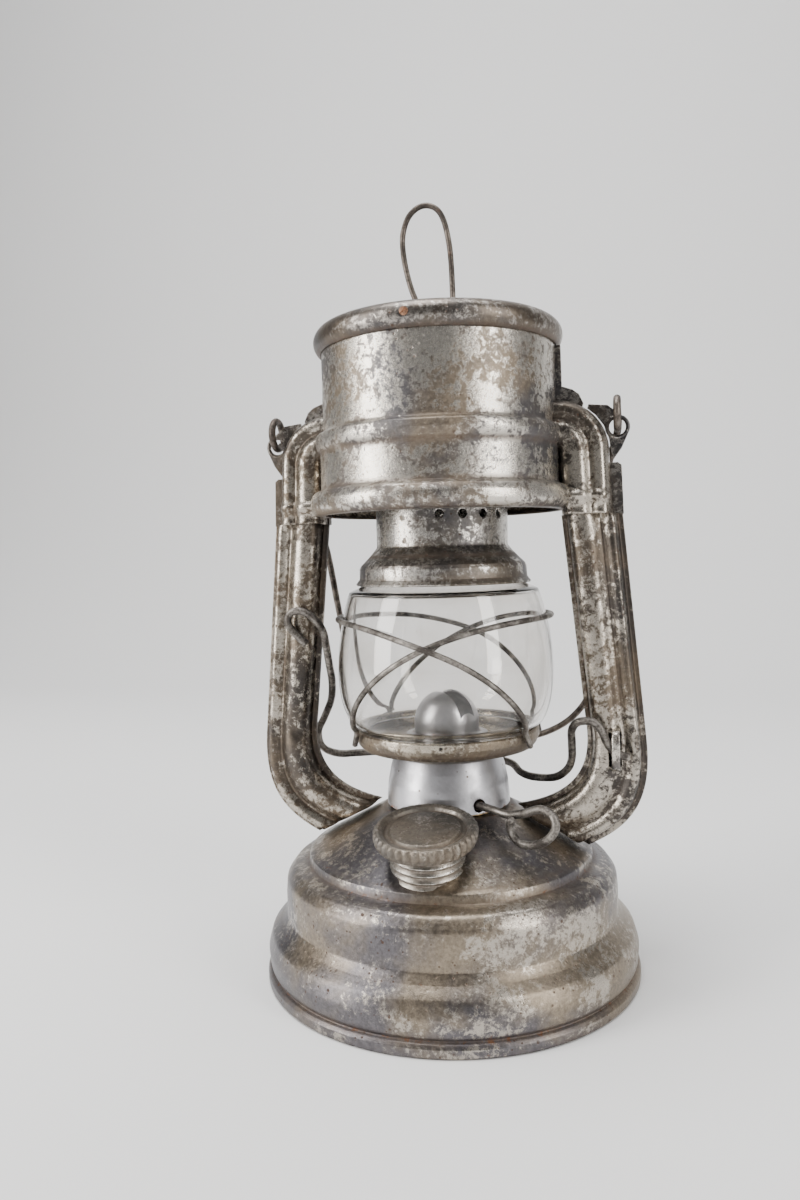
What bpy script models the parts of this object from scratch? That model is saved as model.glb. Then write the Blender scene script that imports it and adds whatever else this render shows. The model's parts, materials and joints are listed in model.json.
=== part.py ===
"""Small tubular storm lantern: round fount, two flat side tubes, drum-shaped storm hood.

Frame: metres, +Z up, origin at the centre of the fount's foot, side tubes along +X and -X,
filler plug towards -Y. Lengths below are written in millimetres times MM.
"""
import math

import bmesh
import bpy
from mathutils import Matrix, Vector

MM = 0.001

# Driving dimensions
GAP = 0.3 * MM                 # clearance between touching pieces
SHEET = 0.6 * MM               # sheet steel of hood, tubes and chimney
FOUNT_SHEET = 0.8 * MM
FOOT_RADIUS = 55.0 * MM
FOUNT_RADIUS = 48.9 * MM
RIDGE_RADIUS = 41.5 * MM
RIDGE_HEIGHT = 34.4 * MM
FOUNT_TOP = 48.0 * MM
SLEEVE_BOTTOM = 132.2 * MM
HOOD_TOP = 187.3 * MM
HOOD_RING_RADIUS = 35.6 * MM   # outside of the rolled ring on top
DRUM_RADIUS = 33.9 * MM        # upper part of the hood drum
SKIRT_RADIUS = 35.0 * MM       # lower part of the hood drum
NECK_RADIUS = 19.3 * MM        # chimney neck
PLATE_RADIUS = 27.2 * MM
CONE_RADIUS = 18.2 * MM

# Filler plug: its axis leans forward from the vertical
PLUG_TILT = math.radians(11.0)
PLUG_TOP = Vector((0.4 * MM, -33.4 * MM, 50.9 * MM))
PLUG_RADIUS = 14.1 * MM
PLUG_THREAD_RADIUS = 10.1 * MM
PLUG_THREAD_PITCH = 2.0 * MM
PLUG_HEAD_HEIGHT = 4.2 * MM

# Moving axes
BAIL_PIVOT_HEIGHT = 160.1 * MM
BAIL_LEAN = math.radians(27.2)
BAIL_REACH = 117.5 * MM
BAIL_HALF_WIDTH = 42.3 * MM
EAR_X = 50.8 * MM
EAR_HOLE_HEIGHT = 156.4 * MM
LEVER_PIVOT = Vector((49.6 * MM, -4.0 * MM, 66.0 * MM))
WINDER_AZIMUTH = math.radians(54.0)    # from -Y towards +X
WINDER_HEIGHT = 51.3 * MM
WINDER_OFFSET = 4.3 * MM               # shaft beside the wick tube

# Wire sizes
RING_WIRE = 0.85 * MM
GUARD_WIRE = 0.85 * MM
BAIL_WIRE = 1.1 * MM
LEVER_WIRE = 1.2 * MM

TURN_STEPS = 28
DOWN = math.radians(-90)


# ---------------------------------------------------------------- scene and materials

for old in list(bpy.data.objects):
    bpy.data.objects.remove(old, do_unlink=True)

PARTS = bpy.data.collections.new("storm_lantern")
CUTTERS = bpy.data.collections.new("cutters")
for collection in (PARTS, CUTTERS):
    bpy.context.scene.collection.children.link(collection)


def material(name, colour, roughness, metallic):
    made = bpy.data.materials.new(name)
    made.use_nodes = True
    shader = made.node_tree.nodes["Principled BSDF"]
    shader.inputs["Base Color"].default_value = (*colour, 1.0)
    shader.inputs["Roughness"].default_value = roughness
    shader.inputs["Metallic"].default_value = metallic
    return made


def clear_glass():
    made = material("globe_glass", (0.93, 0.92, 0.88), 0.05, 0.0)
    shader = made.node_tree.nodes["Principled BSDF"]
    shader.inputs["Transmission Weight"].default_value = 1.0
    shader.inputs["IOR"].default_value = 1.47
    return made


TINNED = material("tinned_steel", (0.42, 0.38, 0.32), 0.42, 0.9)
DULL_TINNED = material("dull_tinned_steel", (0.30, 0.27, 0.23), 0.55, 0.85)
WIRE = material("steel_wire", (0.13, 0.115, 0.10), 0.5, 0.85)
ZINC = material("grey_zinc", (0.27, 0.26, 0.25), 0.5, 0.85)
ALUMINIUM = material("aluminium", (0.50, 0.50, 0.51), 0.38, 0.95)
BRASS = material("brass", (0.50, 0.36, 0.16), 0.45, 0.95)
RUBBER = material("seal_rubber", (0.03, 0.028, 0.026), 0.8, 0.0)
COTTON = material("wick_cotton", (0.62, 0.56, 0.44), 0.95, 0.0)
GLASS = clear_glass()


# ---------------------------------------------------------------- building helpers

def add_mesh(name, mesh, finish, cutter=False):
    """Wraps a mesh in an object, in the parts or the cutters collection."""
    piece = bpy.data.objects.new(name, mesh)
    if cutter:
        CUTTERS.objects.link(piece)
        piece.hide_render = True
        piece.display_type = "WIRE"
    else:
        PARTS.objects.link(piece)
        mesh.materials.append(finish)
    return piece


def smooth(piece, angle=38.0):
    piece.data.shade_smooth()
    piece.data.set_sharp_from_angle(angle=math.radians(angle))
    return piece


def arc(centre, radius, start, end, count):
    """Points (r, z) along an arc, angles in degrees from +R towards +Z."""
    points = []
    for index in range(count):
        angle = math.radians(start + (end - start) * index / (count - 1))
        points.append((centre[0] + radius * math.cos(angle), centre[1] + radius * math.sin(angle)))
    return points


def bezier(start, first, second, end, count):
    """Points along a cubic curve in a plane."""
    points = []
    for index in range(count):
        t = index / (count - 1)
        weights = ((1 - t) ** 3, 3 * t * (1 - t) ** 2, 3 * t * t * (1 - t), t ** 3)
        points.append(tuple(
            sum(weight * point[axis] for weight, point in zip(weights, (start, first, second, end)))
            for axis in (0, 1)))
    return points


def profile_mesh(name, points, closed):
    """A mesh of edges in the XZ plane, ready for a Screw modifier."""
    mesh = bpy.data.meshes.new(name)
    work = bmesh.new()
    corners = [work.verts.new((r, 0.0, z)) for r, z in points]
    for first, second in zip(corners, corners[1:]):
        work.edges.new((first, second))
    if closed:
        work.edges.new((corners[-1], corners[0]))
    work.to_mesh(mesh)
    work.free()
    return mesh


def turned(name, points, finish, closed=True, thickness=0.0, steps=TURN_STEPS):
    """Turns a profile about Z; an open one becomes sheet of the thickness, kept on the inside."""
    piece = add_mesh(name, profile_mesh(name, points, closed), finish)
    screw = piece.modifiers.new("turn", "SCREW")
    screw.steps = steps
    screw.render_steps = steps
    screw.use_merge_vertices = True
    screw.merge_threshold = 0.00002
    screw.use_smooth_shade = True
    if thickness:
        solidify = piece.modifiers.new("sheet", "SOLIDIFY")
        solidify.thickness = thickness
        solidify.offset = -1.0
    return piece


def baked(piece):
    """Replaces a piece's modifiers by the mesh they make."""
    bpy.context.view_layer.update()
    graph = bpy.context.evaluated_depsgraph_get()
    mesh = bpy.data.meshes.new_from_object(piece.evaluated_get(graph))
    piece.modifiers.clear()
    piece.data = mesh
    return piece


def combine(piece, other, operation):
    """Boolean of two pieces; the other one is used up."""
    boolean = piece.modifiers.new(operation.lower(), "BOOLEAN")
    boolean.operation = operation
    boolean.object = other
    boolean.solver = "EXACT"
    baked(piece)
    bpy.data.objects.remove(other, do_unlink=True)
    return piece


def box_cutter(name, low, high):
    mesh = bpy.data.meshes.new(name)
    work = bmesh.new()
    bmesh.ops.create_cube(work, size=1.0)
    size = [high[axis] - low[axis] for axis in range(3)]
    middle = [(high[axis] + low[axis]) / 2 for axis in range(3)]
    bmesh.ops.scale(work, vec=size, verts=work.verts)
    bmesh.ops.translate(work, vec=middle, verts=work.verts)
    work.to_mesh(mesh)
    work.free()
    return add_mesh(name, mesh, None, cutter=True)


def rod_cutter(name, start, end, radius, sides=16):
    """A round cutter from one point to another."""
    start = Vector(start)
    end = Vector(end)
    mesh = bpy.data.meshes.new(name)
    work = bmesh.new()
    bmesh.ops.create_cone(work, cap_ends=True, segments=sides, radius1=radius, radius2=radius,
                          depth=(end - start).length)
    turn = (end - start).to_track_quat("Z", "Y").to_matrix().to_4x4()
    bmesh.ops.transform(work, matrix=Matrix.Translation((start + end) / 2) @ turn, verts=work.verts)
    work.to_mesh(mesh)
    work.free()
    return add_mesh(name, mesh, None, cutter=True)


def loft(name, rings, finish, cutter=False):
    """Skins a row of closed rings that all have the same number of points, with both ends capped."""
    mesh = bpy.data.meshes.new(name)
    work = bmesh.new()
    rows = [[work.verts.new(point) for point in ring] for ring in rings]
    count = len(rows[0])
    for lower, upper in zip(rows, rows[1:]):
        for index in range(count):
            following = (index + 1) % count
            work.faces.new((lower[index], lower[following], upper[following], upper[index]))
    caps = [work.faces.new(rows[0]), work.faces.new(rows[-1])]
    for cap in caps:
        cap.normal_update()
    bmesh.ops.triangulate(work, faces=caps)
    bmesh.ops.recalc_face_normals(work, faces=work.faces)
    work.to_mesh(mesh)
    work.free()
    return smooth(add_mesh(name, mesh, finish, cutter))


def plate(name, outline, thickness, finish, cutter=False):
    """A flat piece in the XZ plane, centred on y = 0, from its outline of (x, z) points."""
    half = thickness / 2
    rings = [[(x, y, z) for x, z in outline] for y in (-half, half)]
    piece = loft(name, rings, finish, cutter)
    piece.data.shade_flat()
    return piece


def smooth_route(points, spacing):
    """Catmull-Rom points through hand-set points, about one per spacing."""
    points = [Vector(point) for point in points]
    padded = [2 * points[0] - points[1], *points, 2 * points[-1] - points[-2]]
    route = [points[0]]
    for before, start, end, after in zip(padded, padded[1:], padded[2:], padded[3:]):
        pieces = max(1, round((end - start).length / spacing))
        for step in range(1, pieces + 1):
            t = step / pieces
            route.append(0.5 * (2 * start + (end - before) * t
                                + (2 * before - 5 * start + 4 * end - after) * t * t
                                + (3 * start - before - 3 * end + after) * t ** 3))
    return route


def wire(name, route, radius, finish, closed=False):
    """A round wire along a route of points."""
    curve = bpy.data.curves.new(name, "CURVE")
    curve.dimensions = "3D"
    curve.bevel_depth = radius
    curve.bevel_resolution = 1
    curve.use_fill_caps = True
    spline = curve.splines.new("POLY")
    spline.points.add(len(route) - 1)
    for point, place in zip(spline.points, route):
        point.co = (*place, 1.0)
    spline.use_cyclic_u = closed
    spline.use_smooth = True
    piece = bpy.data.objects.new(name, curve)
    PARTS.objects.link(piece)
    curve.materials.append(finish)
    return piece


def as_mesh(piece):
    """Turns a curve piece into a closed mesh, so that it can take a Boolean."""
    name = piece.name
    bpy.context.view_layer.update()
    graph = bpy.context.evaluated_depsgraph_get()
    mesh = bpy.data.meshes.new_from_object(piece.evaluated_get(graph))
    work = bmesh.new()
    work.from_mesh(mesh)
    bmesh.ops.remove_doubles(work, verts=work.verts, dist=0.000005)
    work.to_mesh(mesh)
    work.free()
    place = piece.matrix_world.copy()
    bpy.data.objects.remove(piece, do_unlink=True)
    solid = bpy.data.objects.new(name, mesh)
    PARTS.objects.link(solid)
    solid.matrix_world = place
    return solid


def pivot(name, place):
    """An empty on a joint's axis, which the pieces of that body hang on."""
    empty = bpy.data.objects.new(name, None)
    empty.empty_display_size = 0.01
    empty.location = place
    PARTS.objects.link(empty)
    bpy.context.view_layer.update()
    return empty


def hang(empty, *pieces):
    for piece in pieces:
        piece.parent = empty
        piece.matrix_parent_inverse = empty.matrix_world.inverted()


def around(azimuth, radius, height):
    """A point by its azimuth from -Y towards +X."""
    return Vector((radius * math.sin(azimuth), -radius * math.cos(azimuth), height))


# ---------------------------------------------------------------- fount

def fount_outline():
    """Outer side of the fount, from the top opening down to the rolled foot."""
    top = [(10.4 * MM, FOUNT_TOP), (19.0 * MM, FOUNT_TOP), (29.0 * MM, 42.6 * MM),
           (40.5 * MM, 36.3 * MM), (RIDGE_RADIUS, RIDGE_HEIGHT)]
    shoulder = arc((42.3 * MM, 27.0 * MM), 6.6 * MM, 86, 0, 4)
    crease = [(FOUNT_RADIUS, 19.0 * MM), (51.0 * MM, 16.0 * MM)]
    bulge = arc((49.2 * MM, 8.6 * MM), 5.4 * MM, 58, -42, 4)
    rim = [(54.3 * MM, 3.7 * MM), (FOOT_RADIUS, 3.2 * MM), (FOOT_RADIUS, 0.5 * MM),
           (54.5 * MM, 0.0), (52.7 * MM, 0.0)]
    return top + shoulder + crease + bulge + rim


def plug_axis():
    return Vector((0.0, -math.sin(PLUG_TILT), math.cos(PLUG_TILT)))


def fount_shell():
    shell = turned("fount_shell", fount_outline(), TINNED, closed=False, thickness=FOUNT_SHEET,
                   steps=32)
    hole = rod_cutter("filler_hole", PLUG_TOP - plug_axis() * 26 * MM, PLUG_TOP,
                      PLUG_THREAD_RADIUS + 0.4 * MM, sides=24)
    return smooth(combine(shell, hole, "DIFFERENCE"))


def fount_bottom():
    """Dished bottom plate inside the foot, clear of the table."""
    edge = 53.3 * MM
    profile = [(0.0, 3.2 * MM), (40.0 * MM, 3.2 * MM), (44.0 * MM, 1.9 * MM), (edge, 1.9 * MM),
               (edge, 1.2 * MM), (43.6 * MM, 1.2 * MM), (39.6 * MM, 2.5 * MM), (0.0, 2.5 * MM)]
    return turned("fount_bottom", profile, TINNED, closed=False)


def plug_placed(piece):
    """Moves a piece that was turned about Z onto the plug's leaning axis."""
    piece.matrix_world = Matrix.Translation(PLUG_TOP) @ Matrix.Rotation(PLUG_TILT, 4, "X")
    return piece


def filler_plug():
    """Knurled head with a raised disc, and a hollow threaded stem under it."""
    head = PLUG_RADIUS
    stem = PLUG_THREAD_RADIUS
    bottom = -PLUG_HEAD_HEIGHT
    profile = [(0.0, -0.5 * MM), (9.0 * MM, -0.6 * MM), (10.8 * MM, -1.5 * MM),
               (11.6 * MM, -1.4 * MM), (12.2 * MM, -0.2 * MM), (12.9 * MM, 0.0),
               (head, -0.8 * MM), (head, -2.4 * MM), (head - 0.7 * MM, bottom),
               (head - 1.5 * MM, bottom), (head - 1.5 * MM, -2.9 * MM), (stem - 0.8 * MM, -2.9 * MM)]
    turns = 5
    for turn in range(turns):
        crest = bottom - 0.8 * MM - turn * PLUG_THREAD_PITCH
        profile += [(stem - 0.8 * MM, crest + 0.55 * PLUG_THREAD_PITCH / 2),
                    (stem, crest), (stem - 0.8 * MM, crest - 0.55 * PLUG_THREAD_PITCH / 2)]
    end = bottom - turns * PLUG_THREAD_PITCH
    profile += [(stem - 0.8 * MM, end), (stem - 1.8 * MM, end), (stem - 1.8 * MM, -3.3 * MM),
                (0.0, -3.3 * MM)]
    plug = turned("filler_plug", profile, ZINC, closed=False, steps=24)
    return plug_placed(plug)


def filler_seal():
    """Flat ring in the groove under the head, round the stem."""
    inner = PLUG_THREAD_RADIUS - 0.8 * MM + GAP
    outer = PLUG_RADIUS - 1.5 * MM - GAP
    profile = [(inner, -3.2 * MM), (outer, -3.2 * MM), (outer, -4.2 * MM), (inner, -4.2 * MM)]
    return plug_placed(turned("filler_seal", profile, RUBBER, steps=24))


# ---------------------------------------------------------------- side tubes

TUBE_OUTLINE = [(0.0, 0.0), (0.075, 0.0), (0.09, 0.9), (0.12, 3.9), (0.20, 5.3), (0.34, 5.85),
                (0.47, 5.3), (0.57, 3.9), (0.64, 3.2), (0.70, 3.8), (0.78, 4.3), (0.865, 3.8),
                (0.905, 0.8), (0.92, 0.0), (1.0, 0.0)]
FLANGE_BASE = 0.65 * MM        # outside of one flange, from the seam plane


def offset_inwards(points, distance):
    """A copy of an open outline moved to its right-hand side by the distance."""
    moved = []
    for index, point in enumerate(points):
        before = points[max(0, index - 1)]
        after = points[min(len(points) - 1, index + 1)]
        along = Vector((after[0] - before[0], after[1] - before[1])).normalized()
        moved.append((point[0] + along.y * distance, point[1] - along.x * distance))
    return moved


def tube_section(inner, outer, depth=1.0):
    """Half section of a pressed tube between two rail points, as (fraction point, depth) pairs."""
    inner = Vector(inner)
    outer = Vector(outer)
    width = (outer - inner).length
    outside = [(f * width, FLANGE_BASE + t * MM * depth) for f, t in TUBE_OUTLINE]
    inside = offset_inwards(outside, 0.5 * MM)
    inside[0] = (outside[0][0], FLANGE_BASE - 0.5 * MM)
    inside[-1] = (outside[-1][0], FLANGE_BASE - 0.5 * MM)
    along = (outer - inner).normalized()
    ring = []
    for s, t in outside + inside[::-1]:
        place = inner + along * s
        ring.append((place.x, max(t, FLANGE_BASE - 0.5 * MM), place.y))
    return ring


def tube_rails():
    """Inner and outer edge of a side tube, from inside the sleeve down to the fount."""
    neck = SLEEVE_BOTTOM - 0.4 * MM
    wide = SLEEVE_BOTTOM - 0.8 * MM
    outer = [(48.1 * MM, 143.0 * MM), (48.2 * MM, neck), (51.95 * MM, wide)]
    inner = [(36.1 * MM, 143.0 * MM), (36.1 * MM, neck), (34.9 * MM, wide)]
    outer += bezier((57.7 * MM, 68.0 * MM), (59.2 * MM, 50.0 * MM), (52.0 * MM, 43.0 * MM),
                    (41.0 * MM, 37.6 * MM), 7)
    inner += bezier((40.6 * MM, 75.0 * MM), (42.5 * MM, 62.0 * MM), (39.5 * MM, 52.0 * MM),
                    (20.8 * MM, 48.6 * MM), 7)
    return inner, outer


def tube_half(name, side, face):
    """One pressed half: side is +1 at +X and -1 at -X, face is -1 in front and +1 behind."""
    inner, outer = tube_rails()
    rings = []
    for start, end in zip(inner, outer):
        ring = tube_section(start, end)
        rings.append([(side * x, face * y, z) for x, y, z in ring])
    return loft(name, rings, TINNED)


def side_tubes():
    halves = {}
    for side_name, side in (("left", -1), ("right", 1)):
        for face_name, face in (("front", -1), ("rear", 1)):
            name = f"{side_name}_tube_{face_name}"
            halves[name] = tube_half(name, side, face)
    carrier = halves["right_tube_front"]
    slot = box_cutter("lever_slot", (47.1 * MM, -9 * MM, 61.7 * MM),
                      (50.6 * MM, -2 * MM, 71.3 * MM))
    combine(carrier, slot, "DIFFERENCE")
    combine(carrier, lever_strap(), "UNION")


def lever_strap():
    """Arched strap pressed out of the tube's face; the lever's end lies under it."""
    outside = [(-4.2, 60.4), (-6.6, 60.5), (-9.4, 62.0), (-9.9, 66.5), (-9.4, 71.0),
               (-6.6, 72.5), (-4.2, 72.6)]
    inside = [(-4.2, 71.7), (-6.3, 71.7), (-8.7, 70.4), (-9.2, 66.5), (-8.7, 62.6),
              (-6.3, 61.3), (-4.2, 61.3)]
    rings = [[(x, y * MM, z * MM) for y, z in outside + inside] for x in (48.0 * MM, 50.3 * MM)]
    return loft("lever_strap", rings, TINNED)


# ---------------------------------------------------------------- hood

def drum_outline():
    """Outer side of the hood drum, from its top edge down to the curled bottom edge."""
    upper = [(DRUM_RADIUS, 185.0 * MM), (DRUM_RADIUS, 158.0 * MM)]
    bead = [(35.9 * MM, 156.6 * MM), (36.2 * MM, 154.4 * MM), (SKIRT_RADIUS, 152.5 * MM)]
    curl = arc((34.8 * MM, 137.5 * MM), 3.4 * MM, 72, -90, 5)
    return upper + bead + [(SKIRT_RADIUS, 141.4 * MM)] + curl


def drum_solid(name, inset, overrun):
    """The drum as a solid of revolution, shrunk by the inset and longer by the overrun."""
    outline = drum_outline()
    if inset:
        outline = offset_inwards(outline, inset)
    top = outline[0][1] + overrun
    bottom = outline[-1][1] - overrun
    points = [(0.0, top), (outline[0][0], top), *outline[1:]]
    points += [(outline[-1][0], bottom), (0.0, bottom)]
    return baked(turned(name, points, TINNED, closed=False, steps=32))


def elbow_rails():
    """Inner and outer edge of the elbow that leads from the drum into the sleeve."""
    corner = (33.6 * MM, 149.8 * MM)
    outer = [(27.0 * MM, 164.7 * MM)]
    outer += arc(corner, 14.9 * MM, 90, 0, 6)
    outer += [(49.2 * MM, SLEEVE_BOTTOM)]
    inner = [(27.0 * MM, 149.0 * MM)]
    inner += arc(corner, 1.0 * MM, 90, 0, 6)
    inner += [(35.2 * MM, SLEEVE_BOTTOM)]
    return inner, outer


ELBOW_OUTLINE = [(0.0, 0.0), (0.01, 3.2), (0.12, 5.8), (0.32, 6.7), (0.50, 6.3), (0.62, 4.8),
                 (0.74, 5.4), (0.90, 4.8), (0.985, 2.4), (1.0, 0.0)]


def elbow_solid(name, side, inset, overrun):
    """A whole elbow with its sleeve, both faces, as a solid; the inset makes its hollow."""
    inner, outer = elbow_rails()
    inner = [(x, z) for x, z in inner]
    outer = [(x, z) for x, z in outer]
    inner[-1] = (inner[-1][0], inner[-1][1] - overrun)
    outer[-1] = (outer[-1][0], outer[-1][1] - overrun)
    rings = []
    for start, end in zip(inner, outer):
        start = Vector(start)
        end = Vector(end)
        width = (end - start).length
        along = (end - start).normalized()
        half = [(f * width, t * MM + 0.8 * MM) for f, t in ELBOW_OUTLINE]
        if inset:
            half = offset_inwards(half, inset)
            half[0] = (inset, 0.8 * MM)
            half[-1] = (width - inset, 0.8 * MM)
        ring = []
        for face in (-1, 1):
            points = half if face < 0 else half[::-1]
            for s, t in points:
                place = start + along * s
                ring.append((side * place.x, face * t, place.y))
        rings.append(ring)
    return loft(name, rings, TINNED)


def seam_flanges(side):
    """Flat seam strips in the middle plane: up the drum, at the elbow's shoulder, on the sleeve."""
    thick = 2 * FLANGE_BASE
    drum = plate("drum_seam", [(side * x * MM, z * MM) for x, z in (
        (33.0, 160.0), (40.4, 160.0), (41.6, 163.6), (40.4, 166.2), (38.6, 167.6), (35.7, 168.6),
        (35.5, 180.2), (33.0, 180.2))], thick, TINNED)
    sleeve = plate("sleeve_seam", [(side * x * MM, z * MM) for x, z in (
        (47.0, 132.2), (52.2, 132.2), (51.8, 145.8), (50.8, 146.6), (47.0, 146.6))], thick, TINNED)
    return drum, sleeve


def hood_halves():
    """The drum with both elbows and sleeves is pressed as a front and a rear half."""
    shell = drum_solid("hood_front", 0.0, 0.0)
    for side in (-1, 1):
        combine(shell, elbow_solid("elbow", side, 0.0, 0.0), "UNION")
        for strip in seam_flanges(side):
            combine(shell, strip, "UNION")
    hollow = drum_solid("hood_hollow", SHEET, 4 * MM)
    for side in (-1, 1):
        combine(hollow, elbow_solid("elbow_hollow", side, SHEET, 4 * MM), "UNION")
    combine(shell, hollow, "DIFFERENCE")
    seam = GAP / 2
    reach = 70 * MM
    rear = shell.copy()
    rear.data = shell.data.copy()
    rear.name = "hood_rear"
    PARTS.objects.link(rear)
    combine(shell, box_cutter("rear_room", (-reach, -seam, 100 * MM), (reach, reach, 230 * MM)),
            "DIFFERENCE")
    combine(rear, box_cutter("front_room", (-reach, -reach, 100 * MM), (reach, seam, 230 * MM)),
            "DIFFERENCE")
    return smooth(shell), smooth(rear)


def hood_ring():
    """Rolled ring, open below, that grips the top edge of both hood halves."""
    centre = (HOOD_RING_RADIUS - 3.5 * MM, HOOD_TOP - 3.5 * MM)
    outline = arc(centre, 3.5 * MM, 232, -42, 9)
    return turned("hood_ring", outline, DULL_TINNED, closed=False, thickness=0.5 * MM)


def hood_floor():
    """Ring plate across the drum's bottom, with the collar that guides the chimney."""
    rim = SKIRT_RADIUS - SHEET - 0.5 * MM
    collar = NECK_RADIUS + 0.5 * MM
    profile = [(rim, 146.4 * MM), (rim, 142.6 * MM), (collar, 142.6 * MM), (collar, 147.0 * MM)]
    return turned("hood_floor", profile, DULL_TINNED, closed=False, thickness=SHEET)


def bail_ear(name, side):
    """Flat ear outside the elbow with a rolled rim round its hole."""
    body = plate(name, [(side * x * MM, z * MM) for x, z in (
        (49.6, 147.4), (48.9, 150.0), (48.4, 153.5), (47.0, 157.2), (44.8, 160.2), (42.6, 162.0),
        (43.0, 163.2), (48.2, 162.6), (51.4, 159.9), (53.8, 158.0), (53.9, 155.0), (51.9, 150.6))],
        0.9 * MM, DULL_TINNED)
    centre = Vector((side * EAR_X, 0.0, EAR_HOLE_HEIGHT))
    rim = []
    for index in range(20):
        angle = math.tau * index / 20
        rim.append(centre + Vector((math.cos(angle), 0.0, math.sin(angle))) * 2.85 * MM)
    bead = as_mesh(wire(name + "_rim", rim, 0.6 * MM, DULL_TINNED, closed=True))
    half = Vector((0.0, 3 * MM, 0.0))
    hole = rod_cutter(name + "_hole", centre - half, centre + half, 2.7 * MM, sides=20)
    combine(body, hole, "DIFFERENCE")
    return smooth(combine(body, bead, "UNION"))


def hood_bridge():
    """Strap across the drum; the legs of the lift ring slide through it."""
    reach = DRUM_RADIUS - SHEET - GAP - 0.5 * MM
    top = 178.4 * MM
    under = 177.6 * MM
    foot = 171.0 * MM
    wall = reach - 0.8 * MM
    outline = [(-reach, foot), (-reach, top), (reach, top), (reach, foot), (wall, foot),
               (wall, under), (-wall, under), (-wall, foot)]
    strap = plate("hood_bridge", outline, 7 * MM, DULL_TINNED)
    for x in (RING_LEFT_X, RING_RIGHT_X):
        hole = rod_cutter("leg_hole", (x, 0.0, 170 * MM), (x, 0.0, 185 * MM),
                          RING_WIRE + 0.45 * MM, sides=16)
        combine(strap, hole, "DIFFERENCE")
    return strap


def hood_screw():
    """Small slotted screw in the front of the hood ring."""
    head = 1.15 * MM
    profile = [(0.0, 0.55 * MM), (head, 0.4 * MM), (head, 0.0), (0.0, 0.0)]
    screw = turned("hood_screw", profile, BRASS, closed=False, steps=16)
    baked(screw)
    slot = box_cutter("screw_slot", (-2 * MM, -0.2 * MM, 0.3 * MM), (2 * MM, 0.2 * MM, 1 * MM))
    combine(screw, slot, "DIFFERENCE")
    outside = Vector((-0.9 * MM, -(HOOD_RING_RADIUS + GAP), 184.2 * MM))
    lean = Matrix.Rotation(math.radians(92), 4, "X") @ Matrix.Rotation(math.radians(40), 4, "Z")
    screw.matrix_world = Matrix.Translation(outside) @ lean
    return screw


# ---------------------------------------------------------------- chimney, canopy, lift ring

CANOPY_TOP = 160.4 * MM
RING_LEFT_X = -3.2 * MM
RING_RIGHT_X = 5.0 * MM


def chimney():
    outline = [(NECK_RADIUS, 152.0 * MM), (NECK_RADIUS, 124.4 * MM), (24.2 * MM, 119.2 * MM),
               (24.55 * MM, 118.4 * MM), (24.65 * MM, 115.4 * MM), (25.75 * MM, 114.1 * MM)]
    body = turned("chimney", outline, TINNED, closed=False, thickness=0.5 * MM, steps=24)
    baked(body)
    for group in (10, 190):
        for index in range(4):
            azimuth = math.radians(group + 19.3 * index)
            hole = rod_cutter("air_hole", around(azimuth, 15 * MM, 133.4 * MM),
                              around(azimuth, 24 * MM, 133.4 * MM), 1.3 * MM, sides=8)
            combine(body, hole, "DIFFERENCE")
    return smooth(body)


def chimney_canopy():
    """Shallow dome over the chimney mouth, on three legs that stand inside the neck."""
    outline = [(0.0, CANOPY_TOP), (8.0 * MM, CANOPY_TOP), (16.0 * MM, 159.6 * MM),
               (23.0 * MM, 157.4 * MM), (26.0 * MM, 155.6 * MM)]
    under = offset_inwards(outline, SHEET)
    under[0] = (0.0, under[0][1])
    dome = turned("chimney_canopy", outline + under[::-1], DULL_TINNED, closed=False)
    baked(dome)
    for index in range(3):
        turn = Matrix.Rotation(math.radians(90 + 120 * index), 4, "Z")
        leg = box_cutter("canopy_leg", (17.2 * MM, -2 * MM, 144 * MM),
                         (17.9 * MM, 2 * MM, 159.4 * MM))
        leg.data.transform(turn)
        combine(dome, leg, "UNION")
    return smooth(dome)


def lift_ring():
    """Wire loop that stands on the canopy and comes out through the hood."""
    foot = CANOPY_TOP + GAP
    route = [(RING_LEFT_X, 0, foot), (RING_LEFT_X, 0, 170 * MM), (RING_LEFT_X, 0, 180 * MM),
             (RING_LEFT_X, 0, 190.5 * MM)]
    left = [(-4.6, 193.5), (-6.9, 199.0), (-8.5, 205.0), (-9.4, 211.0), (-9.3, 216.0),
            (-7.6, 220.6), (-4.6, 223.4)]
    right = [(-1.4, 223.6), (1.3, 221.6), (3.1, 218.0), (4.3, 212.0), (4.8, 206.0), (5.0, 198.0)]
    route += [(x * MM, 0.0, z * MM) for x, z in left + right]
    route += [(RING_RIGHT_X, 0, 190 * MM), (RING_RIGHT_X, 0, 180 * MM), (RING_RIGHT_X, 0, foot)]
    return wire("lift_ring", smooth_route(route, 3.4 * MM), RING_WIRE, WIRE)


# ---------------------------------------------------------------- globe and its carrier

def globe_outline():
    """Outer side of the glass, from its top rim down to its foot."""
    neck = [(22.9 * MM, 118.0 * MM), (23.0 * MM, 115.0 * MM), (24.2 * MM, 113.4 * MM)]
    body = bezier((27.8 * MM, 111.7 * MM), (32.6 * MM, 98.0 * MM), (32.9 * MM, 82.0 * MM),
                  (29.3 * MM, 74.8 * MM), 7)
    foot = [(28.1 * MM, 73.0 * MM), (24.9 * MM, 71.1 * MM), (23.9 * MM, 69.7 * MM)]
    return neck + body + foot


def globe():
    return turned("globe", globe_outline(), GLASS, closed=False, thickness=1.3 * MM)


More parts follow.
